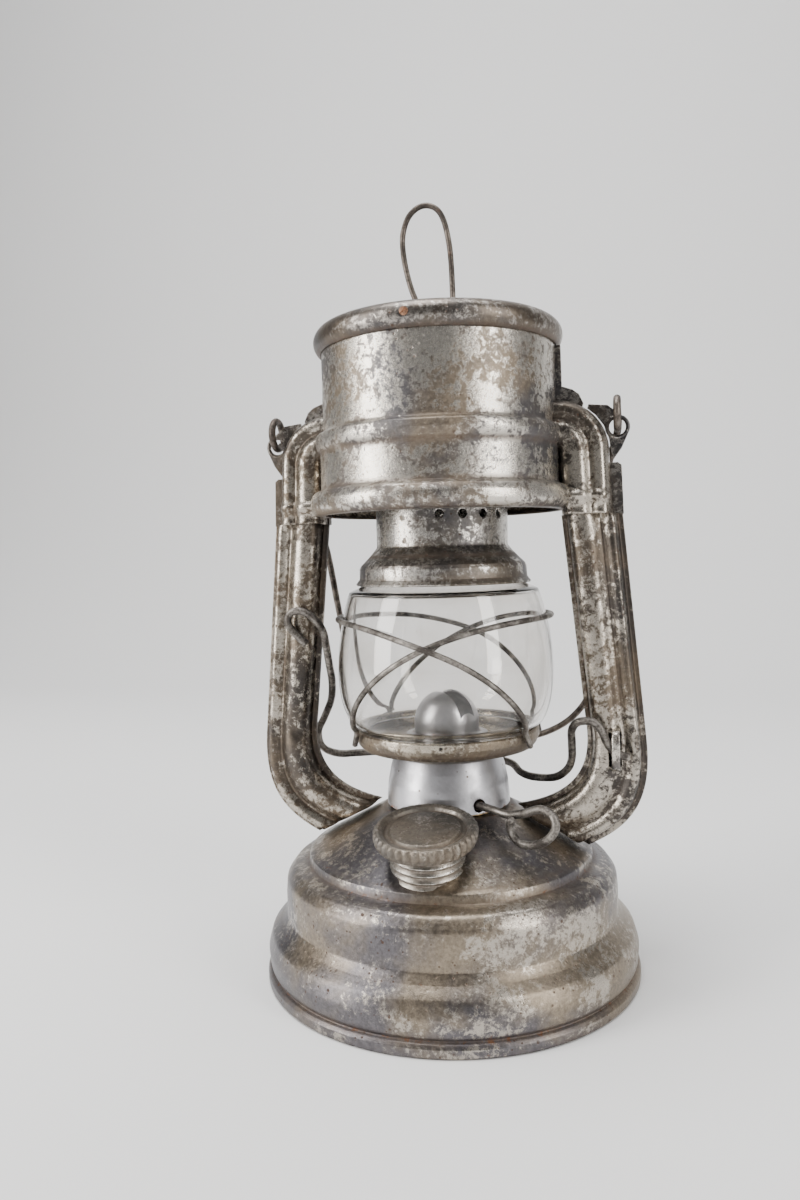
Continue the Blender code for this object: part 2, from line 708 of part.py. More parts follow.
def globe_plate():
    """Dished plate under the globe, with a raised outer rim and the hole for the flame dome."""
    outline = [(25.8 * MM, 71.2 * MM), (26.6 * MM, 71.5 * MM), (PLATE_RADIUS, 71.1 * MM),
               (PLATE_RADIUS, 69.0 * MM), (26.4 * MM, 67.2 * MM), (25.4 * MM, 66.0 * MM),
               (23.4 * MM, 66.0 * MM), (21.6 * MM, 67.3 * MM), (10.3 * MM, 67.3 * MM)]
    sheet = turned("globe_plate", outline, DULL_TINNED, closed=False, thickness=SHEET)
    baked(sheet)
    return smooth(sheet)


def flame_dome():
    """Slotted dome over the wick, standing on the globe plate's hole."""
    radius = 9.6 * MM
    outline = arc((0.0, 72.6 * MM), radius, 90, 0, 6)
    outline += [(radius, 68.8 * MM), (12.2 * MM, 68.75 * MM)]
    outline = [(0.0, outline[0][1]), *outline[1:]]
    under = offset_inwards(outline, 0.5 * MM)
    under[0] = (0.0, outline[0][1] - 0.5 * MM)
    dome = baked(turned("flame_dome", outline + under[::-1], ALUMINIUM, closed=False, steps=24))
    slot = box_cutter("flame_slot", (-9.0 * MM, -2.7 * MM, 74.0 * MM),
                      (9.0 * MM, 2.7 * MM, 90 * MM))
    slot.data.transform(Matrix.Rotation(DOWN + WINDER_AZIMUTH, 4, "Z"))
    return smooth(combine(dome, slot, "DIFFERENCE"))


def guard_wire(name, side, end, lift):
    """Wire loop round the globe: high on its own side, both ends at the plate on the other side."""
    outline = globe_outline()
    count = 28
    route = []
    for index in range(count + 1):
        angle = end * (2 * index / count - 1)
        drop = (abs(angle) / end) ** 3.3
        height = (104.0 - 36.0 * drop) * MM
        radius = PLATE_RADIUS
        for (r0, z0), (r1, z1) in zip(outline, outline[1:]):
            if z1 <= height <= z0:
                radius = r1 + (r0 - r1) * (height - z1) / (z0 - z1)
        crossing = math.exp(-((abs(angle) - math.pi / 2) / 0.36) ** 2)
        radius = max(radius, PLATE_RADIUS) + 1.35 * MM + lift * crossing
        route.append((side * radius * math.cos(angle), radius * math.sin(angle), height))
    return wire(name, route, GUARD_WIRE, WIRE)


# ---------------------------------------------------------------- burner

def burner_cone():
    outline = [(11.4 * MM, 64.9 * MM), (14.6 * MM, 64.6 * MM), (15.9 * MM, 63.4 * MM),
               (16.9 * MM, 60.0 * MM), (17.8 * MM, 55.5 * MM), (CONE_RADIUS, 51.4 * MM),
               (CONE_RADIUS, 49.0 * MM)]
    cone = baked(turned("burner_cone", outline, ALUMINIUM, closed=False, thickness=SHEET))
    start = winder_point(8 * MM)
    end = winder_point(26 * MM)
    return smooth(combine(cone, rod_cutter("winder_hole", start, end, 1.9 * MM), "DIFFERENCE"))


def burner_base():
    """Disc on the fount's top opening, which holds the wick tube and closes the fount."""
    profile = [(0.0, 48.7 * MM), (17.0 * MM, 48.7 * MM), (17.0 * MM, 48.3 * MM),
               (9.9 * MM, 48.3 * MM), (9.9 * MM, 45.0 * MM), (9.2 * MM, 45.0 * MM),
               (9.2 * MM, 48.1 * MM), (0.0, 48.1 * MM)]
    disc = baked(turned("burner_base", profile, BRASS, closed=False, steps=24))
    across = 5.0 * MM
    slot = box_cutter("wick_slot", (-across, -2.0 * MM, 40 * MM), (across, 2.0 * MM, 60 * MM))
    slot.data.transform(Matrix.Rotation(DOWN + WINDER_AZIMUTH, 4, "Z"))
    return smooth(combine(disc, slot, "DIFFERENCE"))


def wick_box(name, half_width, half_depth, bottom, top, finish=None):
    """An upright box on the wick's own axes."""
    made = box_cutter(name, (-half_width, -half_depth, bottom), (half_width, half_depth, top))
    made.data.transform(Matrix.Rotation(DOWN + WINDER_AZIMUTH, 4, "Z"))
    if finish:
        CUTTERS.objects.unlink(made)
        PARTS.objects.link(made)
        made.hide_render = False
        made.display_type = "TEXTURED"
        made.data.materials.append(finish)
    return made


def wick_tube():
    tube = wick_box("wick_tube", 4.6 * MM, 1.6 * MM, 43 * MM, 71.0 * MM, BRASS)
    return combine(tube, wick_box("wick_bore", 4.2 * MM, 1.25 * MM, 40 * MM, 75 * MM),
                   "DIFFERENCE")


def wick():
    return wick_box("wick", 3.85 * MM, 0.9 * MM, 16 * MM, 72.4 * MM, COTTON)


def winder_frame():
    """Outward and sideways unit vectors of the winder shaft."""
    outward = Vector((math.sin(WINDER_AZIMUTH), -math.cos(WINDER_AZIMUTH), 0.0))
    sideways = Vector((math.cos(WINDER_AZIMUTH), math.sin(WINDER_AZIMUTH), 0.0))
    return outward, sideways


def winder_point(out, side=0.0, up=0.0):
    """A point by its distance out along the shaft, sideways from it and above it."""
    outward, sideways = winder_frame()
    middle = Vector((0.0, 0.0, WINDER_HEIGHT))
    return middle + outward * out - sideways * (WINDER_OFFSET - side) + Vector((0.0, 0.0, up))


def wick_winder():
    """Shaft beside the wick tube, bent outside the cone into a loop handle."""
    loop = [(24.0, -0.1, -0.1), (29.0, 0.2, -0.3), (34.2, 0.8, 1.2), (39.4, 1.0, 3.2),
            (43.6, 1.0, 2.2), (44.6, 0.8, -0.8), (42.2, 0.4, -4.2), (38.2, 0.0, -6.4),
            (34.0, -0.6, -7.0), (31.4, -1.2, -5.2), (31.0, -1.9, -2.6), (32.0, -2.4, -0.4)]
    route = [winder_point(-6 * MM), winder_point(4 * MM), winder_point(14 * MM),
             winder_point(20 * MM)]
    route += [winder_point(out * MM, side * MM, up * MM) for out, side, up in loop]
    return wire("wick_winder", smooth_route(route, 2.4 * MM), LEVER_WIRE, WIRE)


def feed_wheel():
    """Toothed wheel on the shaft, next to the flat of the wick tube."""
    teeth = 10
    rings = []
    for out in (-1.5 * MM, 1.5 * MM):
        ring = []
        for index in range(2 * teeth):
            angle = math.pi * index / teeth
            radius = 2.25 * MM if index % 2 else 1.85 * MM
            ring.append(winder_point(out, radius * math.cos(angle), radius * math.sin(angle)))
        rings.append(ring)
    wheel = loft("feed_wheel", rings, BRASS)
    bore = rod_cutter("wheel_bore", winder_point(-5 * MM), winder_point(5 * MM),
                      LEVER_WIRE + 0.3 * MM, sides=12)
    return combine(wheel, bore, "DIFFERENCE")


# ---------------------------------------------------------------- lever and bail

def lift_lever():
    """One wire: thumb loop at the left tube, run behind the burner, curl, pivot in the right tube."""
    thumb = [(-41.0, -7.4, 96.6), (-44.2, -8.0, 99.8), (-46.3, -8.2, 103.2), (-45.0, -8.3, 106.0),
             (-41.8, -8.2, 106.4), (-38.4, -7.8, 104.4), (-35.9, -6.6, 100.6),
             (-35.0, -5.0, 96.0), (-34.9, -2.8, 89.7), (-36.0, 1.0, 84.0), (-38.0, 5.4, 77.7),
             (-41.6, 8.6, 71.4), (-44.0, 9.4, 66.6), (-43.0, 10.0, 61.6), (-38.5, 11.6, 59.2)]
    cross = [(-32.0, 14.6, 58.9), (-21.7, 19.0, 58.8), (-8.0, 20.4, 58.6), (6.0, 20.2, 58.0),
             (16.1, 18.0, 56.4)]
    curl = [(19.7, 14.6, 54.4), (24.0, 11.0, 53.9), (30.8, 6.0, 55.2), (34.8, 2.2, 58.4),
            (36.5, 0.0, 62.2), (36.8, -2.6, 67.6), (37.0, -5.2, 71.6), (38.6, -7.4, 74.2),
            (41.4, -8.7, 75.0), (43.9, -9.2, 74.4), (45.6, -9.2, 72.0), (46.7, -8.1, 69.0),
            (48.2, -7.3, 66.8), (50.2, -7.0, 65.4), (52.6, -6.7, 64.6)]
    route = [(x * MM, y * MM, z * MM) for x, y, z in thumb + cross + curl]
    return wire("lift_lever", smooth_route(route, 5.0 * MM), LEVER_WIRE, WIRE)


def bail():
    """Carrying wire with a loop through each ear, built hanging straight and then laid back."""
    loop_radius = 4.2 * MM
    leg = [(EAR_X, 6.0 * MM, loop_radius), (48.6 * MM, 14.0 * MM, 3.4 * MM),
           (45.0 * MM, 26.0 * MM, 1.4 * MM), (BAIL_HALF_WIDTH, 40.0 * MM, 0.0),
           (BAIL_HALF_WIDTH, 60.0 * MM, 0.0)]
    side = []
    for index in range(13):
        angle = math.radians(290 - 290 * index / 12)
        side.append(Vector((EAR_X, loop_radius * math.cos(angle), loop_radius * math.sin(angle))))
    side += [Vector((x, y, -down)) for x, down, y in leg]
    bow_start = 78.0 * MM
    bow = []
    steps = 16
    for index in range(steps + 1):
        angle = math.pi * index / steps
        across = math.copysign(abs(math.cos(angle)) ** 0.8, math.cos(angle))
        down = bow_start + (BAIL_REACH - bow_start) * math.sin(angle) ** 0.8
        bow.append(Vector((BAIL_HALF_WIDTH * across, 0.0, -down)))
    mirrored = [Vector((-point.x, point.y, point.z)) for point in reversed(side)]
    lean = Matrix.Rotation(BAIL_LEAN, 4, "X")
    lift = Vector((0.0, 0.0, BAIL_PIVOT_HEIGHT))
    route = [lean @ point + lift for point in side + bow + mirrored]
    return wire("bail", route, BAIL_WIRE, WIRE)


# ---------------------------------------------------------------- assembly

def assemble():
    fount_shell()
    fount_bottom()
    side_tubes()
    hood_halves()
    hood_ring()
    hood_floor()
    hood_bridge()
    hood_screw()
    bail_ear("left_ear", -1)
    bail_ear("right_ear", 1)
    burner_base()
    burner_cone()
    wick_tube()

    hang(pivot("plug_axis", PLUG_TOP), filler_plug(), filler_seal())
    hang(pivot("winder_axis", winder_point(0.0)), wick_winder(), feed_wheel())
    hang(pivot("wick_axis", (0.0, 0.0, WINDER_HEIGHT)), wick())
    hang(pivot("lever_axis", LEVER_PIVOT), lift_lever())
    hang(pivot("bail_axis", (0.0, 0.0, BAIL_PIVOT_HEIGHT)), bail())
    hang(pivot("carrier_axis", (0.0, 0.0, 66.0 * MM)), globe_plate(), globe(), flame_dome(),
         guard_wire("guard_wire_a", 1, math.radians(147), 0.0),
         guard_wire("guard_wire_b", -1, math.radians(156), 2.3 * MM))
    hang(pivot("chimney_axis", (0.0, 0.0, 114.0 * MM)), chimney(), chimney_canopy(), lift_ring())


assemble()
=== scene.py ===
"""Looks of the small tubular storm lantern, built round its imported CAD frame.

Lengths are written in millimetres times MM. The frame's +Z is up, the side tubes stand at +X and
-X, and the filler plug is towards -Y.
"""

import json
import math

import bmesh
import bpy
import numpy as np
from mathutils import Matrix, Vector, noise


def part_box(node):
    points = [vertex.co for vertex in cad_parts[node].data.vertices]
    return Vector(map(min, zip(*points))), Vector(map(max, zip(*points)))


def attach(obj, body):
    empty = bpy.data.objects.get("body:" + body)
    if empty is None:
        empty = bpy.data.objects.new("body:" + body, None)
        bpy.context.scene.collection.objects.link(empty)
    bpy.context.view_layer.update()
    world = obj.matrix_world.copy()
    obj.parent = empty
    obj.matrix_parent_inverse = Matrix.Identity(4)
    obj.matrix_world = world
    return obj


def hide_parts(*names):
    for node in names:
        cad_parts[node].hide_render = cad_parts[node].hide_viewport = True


MM = 0.001

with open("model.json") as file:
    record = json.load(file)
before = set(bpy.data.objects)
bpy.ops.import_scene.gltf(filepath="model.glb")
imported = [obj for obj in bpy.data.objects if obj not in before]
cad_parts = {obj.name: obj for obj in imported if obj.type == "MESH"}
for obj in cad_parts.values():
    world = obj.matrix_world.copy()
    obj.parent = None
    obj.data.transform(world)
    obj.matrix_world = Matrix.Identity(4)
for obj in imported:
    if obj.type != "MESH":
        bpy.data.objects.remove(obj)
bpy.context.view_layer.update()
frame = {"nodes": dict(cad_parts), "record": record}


def joint_place(name):
    """Where a joint's axis is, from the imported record."""
    for joint in frame["record"]["behaviour"]["joints"]:
        if joint["name"] == name:
            return Vector(joint["pos_m"])
    raise KeyError(name)



# ---------------------------------------------------------------- materials

class Shader:
    """A Principled material, and short ways of adding procedural nodes to it."""

    def __init__(self, name, **constants):
        self.material = bpy.data.materials.new(name)
        self.material.use_nodes = True
        self.tree = self.material.node_tree
        self.principled = self.tree.nodes["Principled BSDF"]
        for socket, value in constants.items():
            self.principled.inputs[socket.replace("_", " ")].default_value = value
        self.place = self.node("ShaderNodeTexCoord").outputs["Object"]

    def node(self, kind, **settings):
        made = self.tree.nodes.new(kind)
        for key, value in settings.items():
            setattr(made, key, value)
        return made

    def feed(self, socket, value):
        """Links an output to a socket, or sets a plain number or colour on it."""
        if isinstance(value, bpy.types.NodeSocket):
            self.tree.links.new(value, socket)
        else:
            socket.default_value = value

    def noise(self, scale, detail=4.0, roughness=0.55, distortion=0.0, shift=0.0):
        made = self.node("ShaderNodeTexNoise")
        made.inputs["Scale"].default_value = scale
        made.inputs["Detail"].default_value = detail
        made.inputs["Roughness"].default_value = roughness
        made.inputs["Distortion"].default_value = distortion
        mapping = self.node("ShaderNodeMapping")
        mapping.inputs["Location"].default_value = (shift, shift * 0.7, shift * 1.3)
        self.feed(mapping.inputs["Vector"], self.place)
        self.feed(made.inputs["Vector"], mapping.outputs["Vector"])
        return made.outputs["Fac"]

    def cells(self, scale, shift=0.0):
        made = self.node("ShaderNodeTexVoronoi")
        made.inputs["Scale"].default_value = scale
        mapping = self.node("ShaderNodeMapping")
        mapping.inputs["Location"].default_value = (shift, shift, shift)
        self.feed(mapping.inputs["Vector"], self.place)
        self.feed(made.inputs["Vector"], mapping.outputs["Vector"])
        return made.outputs["Distance"]

    def math(self, operation, first, second=0.0, clamp=False):
        made = self.node("ShaderNodeMath", operation=operation, use_clamp=clamp)
        self.feed(made.inputs[0], first)
        self.feed(made.inputs[1], second)
        return made.outputs[0]

    def spread(self, value, low, high, to_low=0.0, to_high=1.0):
        """Maps a stretch of values smoothly to another one."""
        made = self.node("ShaderNodeMapRange", interpolation_type="SMOOTHSTEP")
        self.feed(made.inputs["Value"], value)
        made.inputs["From Min"].default_value = low
        made.inputs["From Max"].default_value = high
        made.inputs["To Min"].default_value = to_low
        made.inputs["To Max"].default_value = to_high
        return made.outputs["Result"]

    def mix(self, share, first, second):
        """Mixes two colours."""
        made = self.node("ShaderNodeMix", data_type="RGBA")
        self.feed(made.inputs["Factor"], share)
        for socket, value in ((made.inputs["A"], first), (made.inputs["B"], second)):
            self.feed(socket, value if isinstance(value, bpy.types.NodeSocket) else (*value, 1.0))
        return made.outputs["Result"]

    def attribute(self, name):
        return self.node("ShaderNodeAttribute", attribute_name=name).outputs["Fac"]

    def bump(self, height, depth, strength=1.0, below=None):
        made = self.node("ShaderNodeBump")
        made.inputs["Distance"].default_value = depth
        made.inputs["Strength"].default_value = strength
        self.feed(made.inputs["Height"], height)
        if below is not None:
            self.feed(made.inputs["Normal"], below)
        return made.outputs["Normal"]

    def surface(self, **sockets):
        for socket, value in sockets.items():
            self.feed(self.principled.inputs[socket.replace("_", " ")], value)
        return self.material


def worn_metal(name, silver, grey, earth, rust, shine=0.5, age=0.5, gloss=(0.26, 0.46), grain=1.0):
    """Old tinned sheet: cloudy grey and beige, fine grain, silver flecks, specks and crease rust.

    shine is the share of the sheet that has crisp silver flecks; age is how many brown-black
    specks and how much rust there are. The mesh's corner attribute adds rust, and in creases
    and hollows a dark brown that is partly grime and partly painted shade.
    """
    s = Shader(name)
    grime_and_shade = s.attribute("grime_and_shade")
    clouds = s.noise(30.0, 4.0, 0.6, 0.4)
    regions = s.noise(44.0, 3.0, 0.6, 0.3, shift=3.1)
    fine = s.noise(950.0 * grain, 4.0, 0.75, shift=1.7)
    flecks = s.noise(420.0 * grain, 7.0, 0.80, 0.3, shift=5.3)
    base = s.mix(s.spread(clouds, 0.40, 0.62), grey, earth)
    shade = s.spread(s.math("ADD", fine, s.math("MULTIPLY", flecks, 0.5)), 0.55, 0.95)
    base = s.mix(shade, s.mix(0.42, base, (0.02, 0.017, 0.015)), base)
    field = s.math("ADD", flecks, s.math("MULTIPLY", regions, 0.75))
    field = s.math("ADD", field, s.math("MULTIPLY", fine, 0.22))
    # Fewer silver flecks in creases and hollows: partly wear, partly painted shade.
    field = s.math("SUBTRACT", field, s.math("MULTIPLY", grime_and_shade, 0.12))
    edge = 1.09 - 0.20 * shine
    bright = s.spread(field, edge - 0.05, edge + 0.06)
    colour = s.mix(s.math("MULTIPLY", bright, 0.85), base, silver)
    rare = s.spread(s.noise(70.0, 3.0, 0.6, shift=8.2), 0.62 - 0.2 * age, 0.74 - 0.2 * age)
    small = s.spread(s.cells(560.0 * grain, 0.4), 0.20, 0.08)
    large = s.spread(s.cells(230.0 * grain, 1.9), 0.13, 0.06)
    specks = s.math("MULTIPLY", s.math("MAXIMUM", small, large), rare)
    colour = s.mix(s.math("MULTIPLY", specks, 0.85), colour, tuple(0.30 * value for value in rust))
    # Dark brown in creases and hollows: partly grime, partly painted shade.
    grime_and_crease_shade = s.math("MULTIPLY", s.spread(grime_and_shade, 0.05, 1.0), s.spread(flecks, 0.30, 0.62))
    colour = s.mix(s.math("MULTIPLY", grime_and_crease_shade, 0.7), colour, (0.085, 0.055, 0.036))
    rust_field = s.math("ADD", s.noise(300.0, 6.0, 0.75, 0.5, shift=11.0),
                        s.math("MULTIPLY", grime_and_shade, 0.15))
    limit = 0.84 - 0.16 * age
    rusty = s.spread(rust_field, limit, limit + 0.09)
    colour = s.mix(rusty, colour, s.mix(fine, tuple(0.5 * value for value in rust), rust))
    matt = s.math("MAXIMUM", rusty, s.math("MULTIPLY", grime_and_crease_shade, 0.6))
    matt = s.math("MAXIMUM", matt, specks)
    rough = s.spread(bright, 0.0, 1.0, gloss[1], gloss[0])
    rough = s.math("ADD", rough, s.math("MULTIPLY", s.math("SUBTRACT", fine, 0.5), 0.30))
    rough = s.math("ADD", rough, s.math("MULTIPLY", matt, 0.30), clamp=True)
    waves = s.bump(s.noise(60.0, 2.0, 0.5, shift=2.2), 0.0004)
    height = s.math("SUBTRACT", s.math("ADD", fine, s.math("MULTIPLY", flecks, 0.7)), specks)
    normal = s.bump(height, 0.00009, 0.8, waves)
    return s.surface(Base_Color=colour, Roughness=rough, Normal=normal,
                     Metallic=s.spread(matt, 0.0, 1.0, 0.94, 0.35))


def smooth_aluminium():
    s = Shader("spun_aluminium")
    stains = s.noise(120.0, 5.0, 0.6, 0.3)
    fine = s.noise(1400.0, 3.0, 0.6)
    spots = s.math("MULTIPLY", s.spread(s.cells(420.0), 0.17, 0.08),
                   s.spread(s.noise(140.0, 2.0, shift=4.0), 0.52, 0.62))
    grime_and_shade = s.attribute("grime_and_shade")
    colour = s.mix(s.spread(stains, 0.40, 0.72), (0.56, 0.56, 0.585), (0.36, 0.355, 0.37))
    colour = s.mix(spots, colour, (0.11, 0.08, 0.06))
    rusty = s.spread(s.math("ADD", s.noise(210.0, 5.0, 0.7, shift=9.0),
                            s.math("MULTIPLY", grime_and_shade, 0.35)), 0.74, 0.86)
    colour = s.mix(rusty, colour, (0.26, 0.12, 0.06))
    rough = s.math("ADD", s.spread(stains, 0.3, 0.75, 0.30, 0.46), s.math("MULTIPLY", rusty, 0.3))
    normal = s.bump(fine, 0.00003, 0.6, s.bump(s.noise(60.0, 2.0), 0.0003))
    return s.surface(Base_Color=colour, Roughness=rough, Normal=normal,
                     Metallic=s.spread(rusty, 0.0, 1.0, 0.95, 0.3))


def dark_wire(name, light, dark, rust, rusting):
    """Drawn steel wire with a brown-grey oxide, rubbed lighter in places."""
    s = Shader(name)
    rubbed = s.noise(170.0, 5.0, 0.7, 0.3)
    fine = s.noise(1500.0, 4.0, 0.75)
    both = s.math("ADD", rubbed, s.math("MULTIPLY", fine, 0.5))
    colour = s.mix(s.spread(both, 0.62, 0.95), dark, light)
    rusty = s.spread(s.noise(240.0, 5.0, 0.72, shift=6.0), 0.70 - 0.2 * rusting, 0.82 - 0.2 * rusting)
    colour = s.mix(rusty, colour, rust)
    rough = s.spread(both, 0.6, 1.0, 0.58, 0.36)
    normal = s.bump(fine, 0.00006, 0.9, s.bump(rubbed, 0.00012))
    return s.surface(Base_Color=colour, Roughness=rough, Normal=normal,
                     Metallic=s.spread(rusty, 0.0, 1.0, 0.85, 0.25))


def smoky_glass():
    """Thin blown glass: clear, a little smoky, with faint ripples, specks of dust and painted shade at
    its edges.
    """
    s = Shader("blown_glass", IOR=1.46, Transmission_Weight=1.0, Metallic=0.0)
    ripples = s.noise(26.0, 2.0, 0.4, 0.3)
    film = s.noise(75.0, 5.0, 0.62, 0.4)
    dust = s.math("MULTIPLY", s.spread(s.cells(260.0), 0.07, 0.03),
                  s.spread(s.noise(80.0, 2.0, shift=2.0), 0.5, 0.6))
    grime_and_shade = s.attribute("grime_and_shade")
    colour = s.mix(s.spread(film, 0.35, 0.75), (0.955, 0.945, 0.93), (0.88, 0.86, 0.83))
    colour = s.mix(s.math("MULTIPLY", grime_and_shade, 0.55), colour, (0.42, 0.38, 0.33))
    colour = s.mix(dust, colour, (0.30, 0.24, 0.18))
    # Painted shade: the glass darkens towards its edges as they turn away from view.
    facing = s.node("ShaderNodeLayerWeight").outputs["Facing"]
    colour = s.mix(s.spread(facing, 0.55, 1.0), colour, (0.60, 0.565, 0.53))
    rough = s.math("ADD", s.spread(film, 0.45, 0.85, 0.015, 0.09), s.math("MULTIPLY", dust, 0.5))
    return s.surface(Base_Color=colour, Roughness=rough, Normal=s.bump(ripples, 0.0005))


def woven_cotton():
    """Flat woven wick, charred at the top."""
    s = Shader("woven_wick", Roughness=0.95, Sheen_Weight=0.3)
    split = s.node("ShaderNodeSeparateXYZ")
    s.feed(split.inputs[0], s.place)
    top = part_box("wick")[1].z
    char = s.spread(s.math("ADD", split.outputs["Z"], s.math("MULTIPLY", s.noise(500.0), 0.002)),
                    top - 4 * MM, top)
    across = s.node("ShaderNodeTexWave", wave_type="BANDS", bands_direction="Z")
    across.inputs["Scale"].default_value = 500.0
    along = s.node("ShaderNodeTexWave", wave_type="BANDS", bands_direction="DIAGONAL")
    along.inputs["Scale"].default_value = 420.0
    for wave in (across, along):
        s.feed(wave.inputs["Vector"], s.place)
    weave = s.math("MULTIPLY", across.outputs["Fac"], along.outputs["Fac"])
    colour = s.mix(weave, (0.42, 0.36, 0.26), (0.72, 0.66, 0.54))
    colour = s.mix(char, colour, (0.02, 0.018, 0.016))
    return s.surface(Base_Color=colour, Normal=s.bump(weave, 0.0002))


def black_rubber():
    s = Shader("seal_rubber", Metallic=0.0)
    fine = s.noise(900.0, 4.0, 0.7)
    colour = s.mix(fine, (0.018, 0.017, 0.016), (0.05, 0.047, 0.044))
    return s.surface(Base_Color=colour, Roughness=s.spread(fine, 0.3, 0.7, 0.65, 0.85),
                     Normal=s.bump(fine, 0.00008))


RUST = (0.20, 0.09, 0.045)
TIN = worn_metal("worn_tin", (0.70, 0.66, 0.59), (0.155, 0.15, 0.155), (0.30, 0.245, 0.185), RUST,
                 shine=0.58, age=0.55)
FOUNT_TIN = worn_metal("fount_tin", (0.46, 0.42, 0.365), (0.16, 0.152, 0.162),
                       (0.30, 0.25, 0.19), RUST, shine=0.20, age=1.0, gloss=(0.28, 0.36))
TUBE_TIN = worn_metal("tube_tin", (0.50, 0.455, 0.39), (0.085, 0.076, 0.070), (0.175, 0.14, 0.105),
                      RUST, shine=0.45, age=0.8, gloss=(0.28, 0.42))
BEAD_TIN = worn_metal("rubbed_tin", (0.40, 0.37, 0.335), (0.10, 0.097, 0.10), (0.17, 0.14, 0.11),
                      RUST, shine=0.25, age=0.4, gloss=(0.28, 0.36))
NECK_TIN = worn_metal("neck_tin", (0.66, 0.63, 0.58), (0.13, 0.128, 0.135), (0.24, 0.205, 0.165), RUST,
                      shine=0.55, age=0.5)
PLATE_TIN = worn_metal("plate_tin", (0.50, 0.45, 0.37), (0.17, 0.15, 0.13), (0.28, 0.22, 0.15), RUST,
                       shine=0.4, age=0.6)
DARK_TIN = worn_metal("inner_tin", (0.20, 0.18, 0.16), (0.05, 0.045, 0.042), (0.09, 0.07, 0.055),
                      RUST, shine=0.2, age=0.8, gloss=(0.42, 0.6))
ZINC = worn_metal("plug_zinc", (0.38, 0.35, 0.31), (0.185, 0.175, 0.16), (0.26, 0.22, 0.175), RUST,
                  shine=0.3, age=0.7, gloss=(0.36, 0.5), grain=1.2)
SHINY_ZINC = worn_metal("thread_zinc", (0.70, 0.68, 0.63), (0.42, 0.39, 0.35), (0.50, 0.45, 0.38), RUST,
                        shine=0.7, age=0.4, gloss=(0.2, 0.32))
BRASS = worn_metal("old_brass", (0.68, 0.50, 0.24), (0.34, 0.24, 0.12), (0.45, 0.32, 0.16), RUST,
                   shine=0.5, age=0.4)
# Painted glint: the hood screw's bright copper colour stands for the copper-coloured light that shows
# there.
GLINT_COPPER = worn_metal("screw_glint_copper", (0.80, 0.45, 0.28), (0.46, 0.25, 0.16), (0.55, 0.31, 0.20),
                    RUST, shine=0.6, age=0.2)
ALUMINIUM = smooth_aluminium()
WIRE = dark_wire("oxide_wire", (0.34, 0.315, 0.285), (0.075, 0.066, 0.059), (0.11, 0.055, 0.035), 0.3)
RUSTY_WIRE = dark_wire("rusty_wire", (0.20, 0.17, 0.145), (0.06, 0.050, 0.044),
                       (0.10, 0.05, 0.03), 0.6)
GLASS = smoky_glass()
COTTON = woven_cotton()
RUBBER = black_rubber()


# ---------------------------------------------------------------- mesh helpers

def linked(name, data):
    """A new object in the scene for a mesh or a curve."""
    piece = bpy.data.objects.new(name, data)
    bpy.context.scene.collection.objects.link(piece)
    return piece


def finished(piece, body, nodes, finish):
    """Gives a piece its material and its body, and hides the CAD nodes it stands for."""
    piece.data.materials.append(finish)
    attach(piece, body)
    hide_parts(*nodes)
    return piece


def grid_object(name, points, wrap, grime_and_shade=None, flip=False):
    """A mesh of quads over an array of points, rows by columns."""
    rows, columns = points.shape[:2]
    across = columns if wrap else columns - 1
    start = np.arange(rows - 1)[:, None] * columns
    left = start + np.arange(across)[None, :]
    right = start + (np.arange(across)[None, :] + 1) % columns
    order = (left, right, right + columns, left + columns)
    quads = np.stack(order[::-1] if flip else order, -1).reshape(-1, 4)
    mesh = bpy.data.meshes.new(name)
    mesh.from_pydata(points.reshape(-1, 3).tolist(), [], quads.tolist())
    # The attribute holds grime, rust and soot, and painted shade in creases and hollows.
    if grime_and_shade is not None:
        layer = mesh.attributes.new("grime_and_shade", "FLOAT", "POINT")
        layer.data.foreach_set("value", np.broadcast_to(grime_and_shade, points.shape[:2]).ravel())
    mesh.shade_smooth()
    return linked(name, mesh)


def add_sheet(piece, thickness):
    """Makes sheet metal of a surface, with all of its thickness on the inside."""
    sheet = piece.modifiers.new("sheet", "SOLIDIFY")
    sheet.thickness = thickness
    sheet.offset = -1.0
    return piece


def soften_edges(piece, width, segments=1, angle=60.0):
    """Rounds the cut edges a little, and keeps the smooth shading of the faces beside them."""
    piece.data.shade_smooth()
    edges = piece.modifiers.new("edges", "BEVEL")
    edges.width = width
    edges.segments = segments
    edges.limit_method = "ANGLE"
    edges.angle_limit = math.radians(angle)
    piece.modifiers.new("normals", "WEIGHTED_NORMAL")
    return piece


def apply_modifiers(piece):
    bpy.context.view_layer.update()
    graph = bpy.context.evaluated_depsgraph_get()
    mesh = bpy.data.meshes.new_from_object(piece.evaluated_get(graph))
    piece.modifiers.clear()
    piece.data = mesh
    return piece


def cut(piece, cutter):
    boolean = piece.modifiers.new("cut", "BOOLEAN")
    boolean.operation = "DIFFERENCE"
    boolean.solver = "EXACT"
    boolean.object = cutter
    apply_modifiers(piece)
    bpy.data.objects.remove(cutter, do_unlink=True)
    return piece


def cutter_mesh(work):
    mesh = bpy.data.meshes.new("cutter")
    work.to_mesh(mesh)
    work.free()
    return linked("cutter", mesh)


def rod(start, end, radius, sides=32):
    """A round cutter between two points."""
    start, end = Vector(start), Vector(end)
    work = bmesh.new()
    bmesh.ops.create_cone(work, cap_ends=True, segments=sides, radius1=radius, radius2=radius,
                          depth=(end - start).length)
    turn = (end - start).to_track_quat("Z", "Y").to_matrix().to_4x4()
    bmesh.ops.transform(work, matrix=Matrix.Translation((start + end) / 2) @ turn, verts=work.verts)
    return cutter_mesh(work)


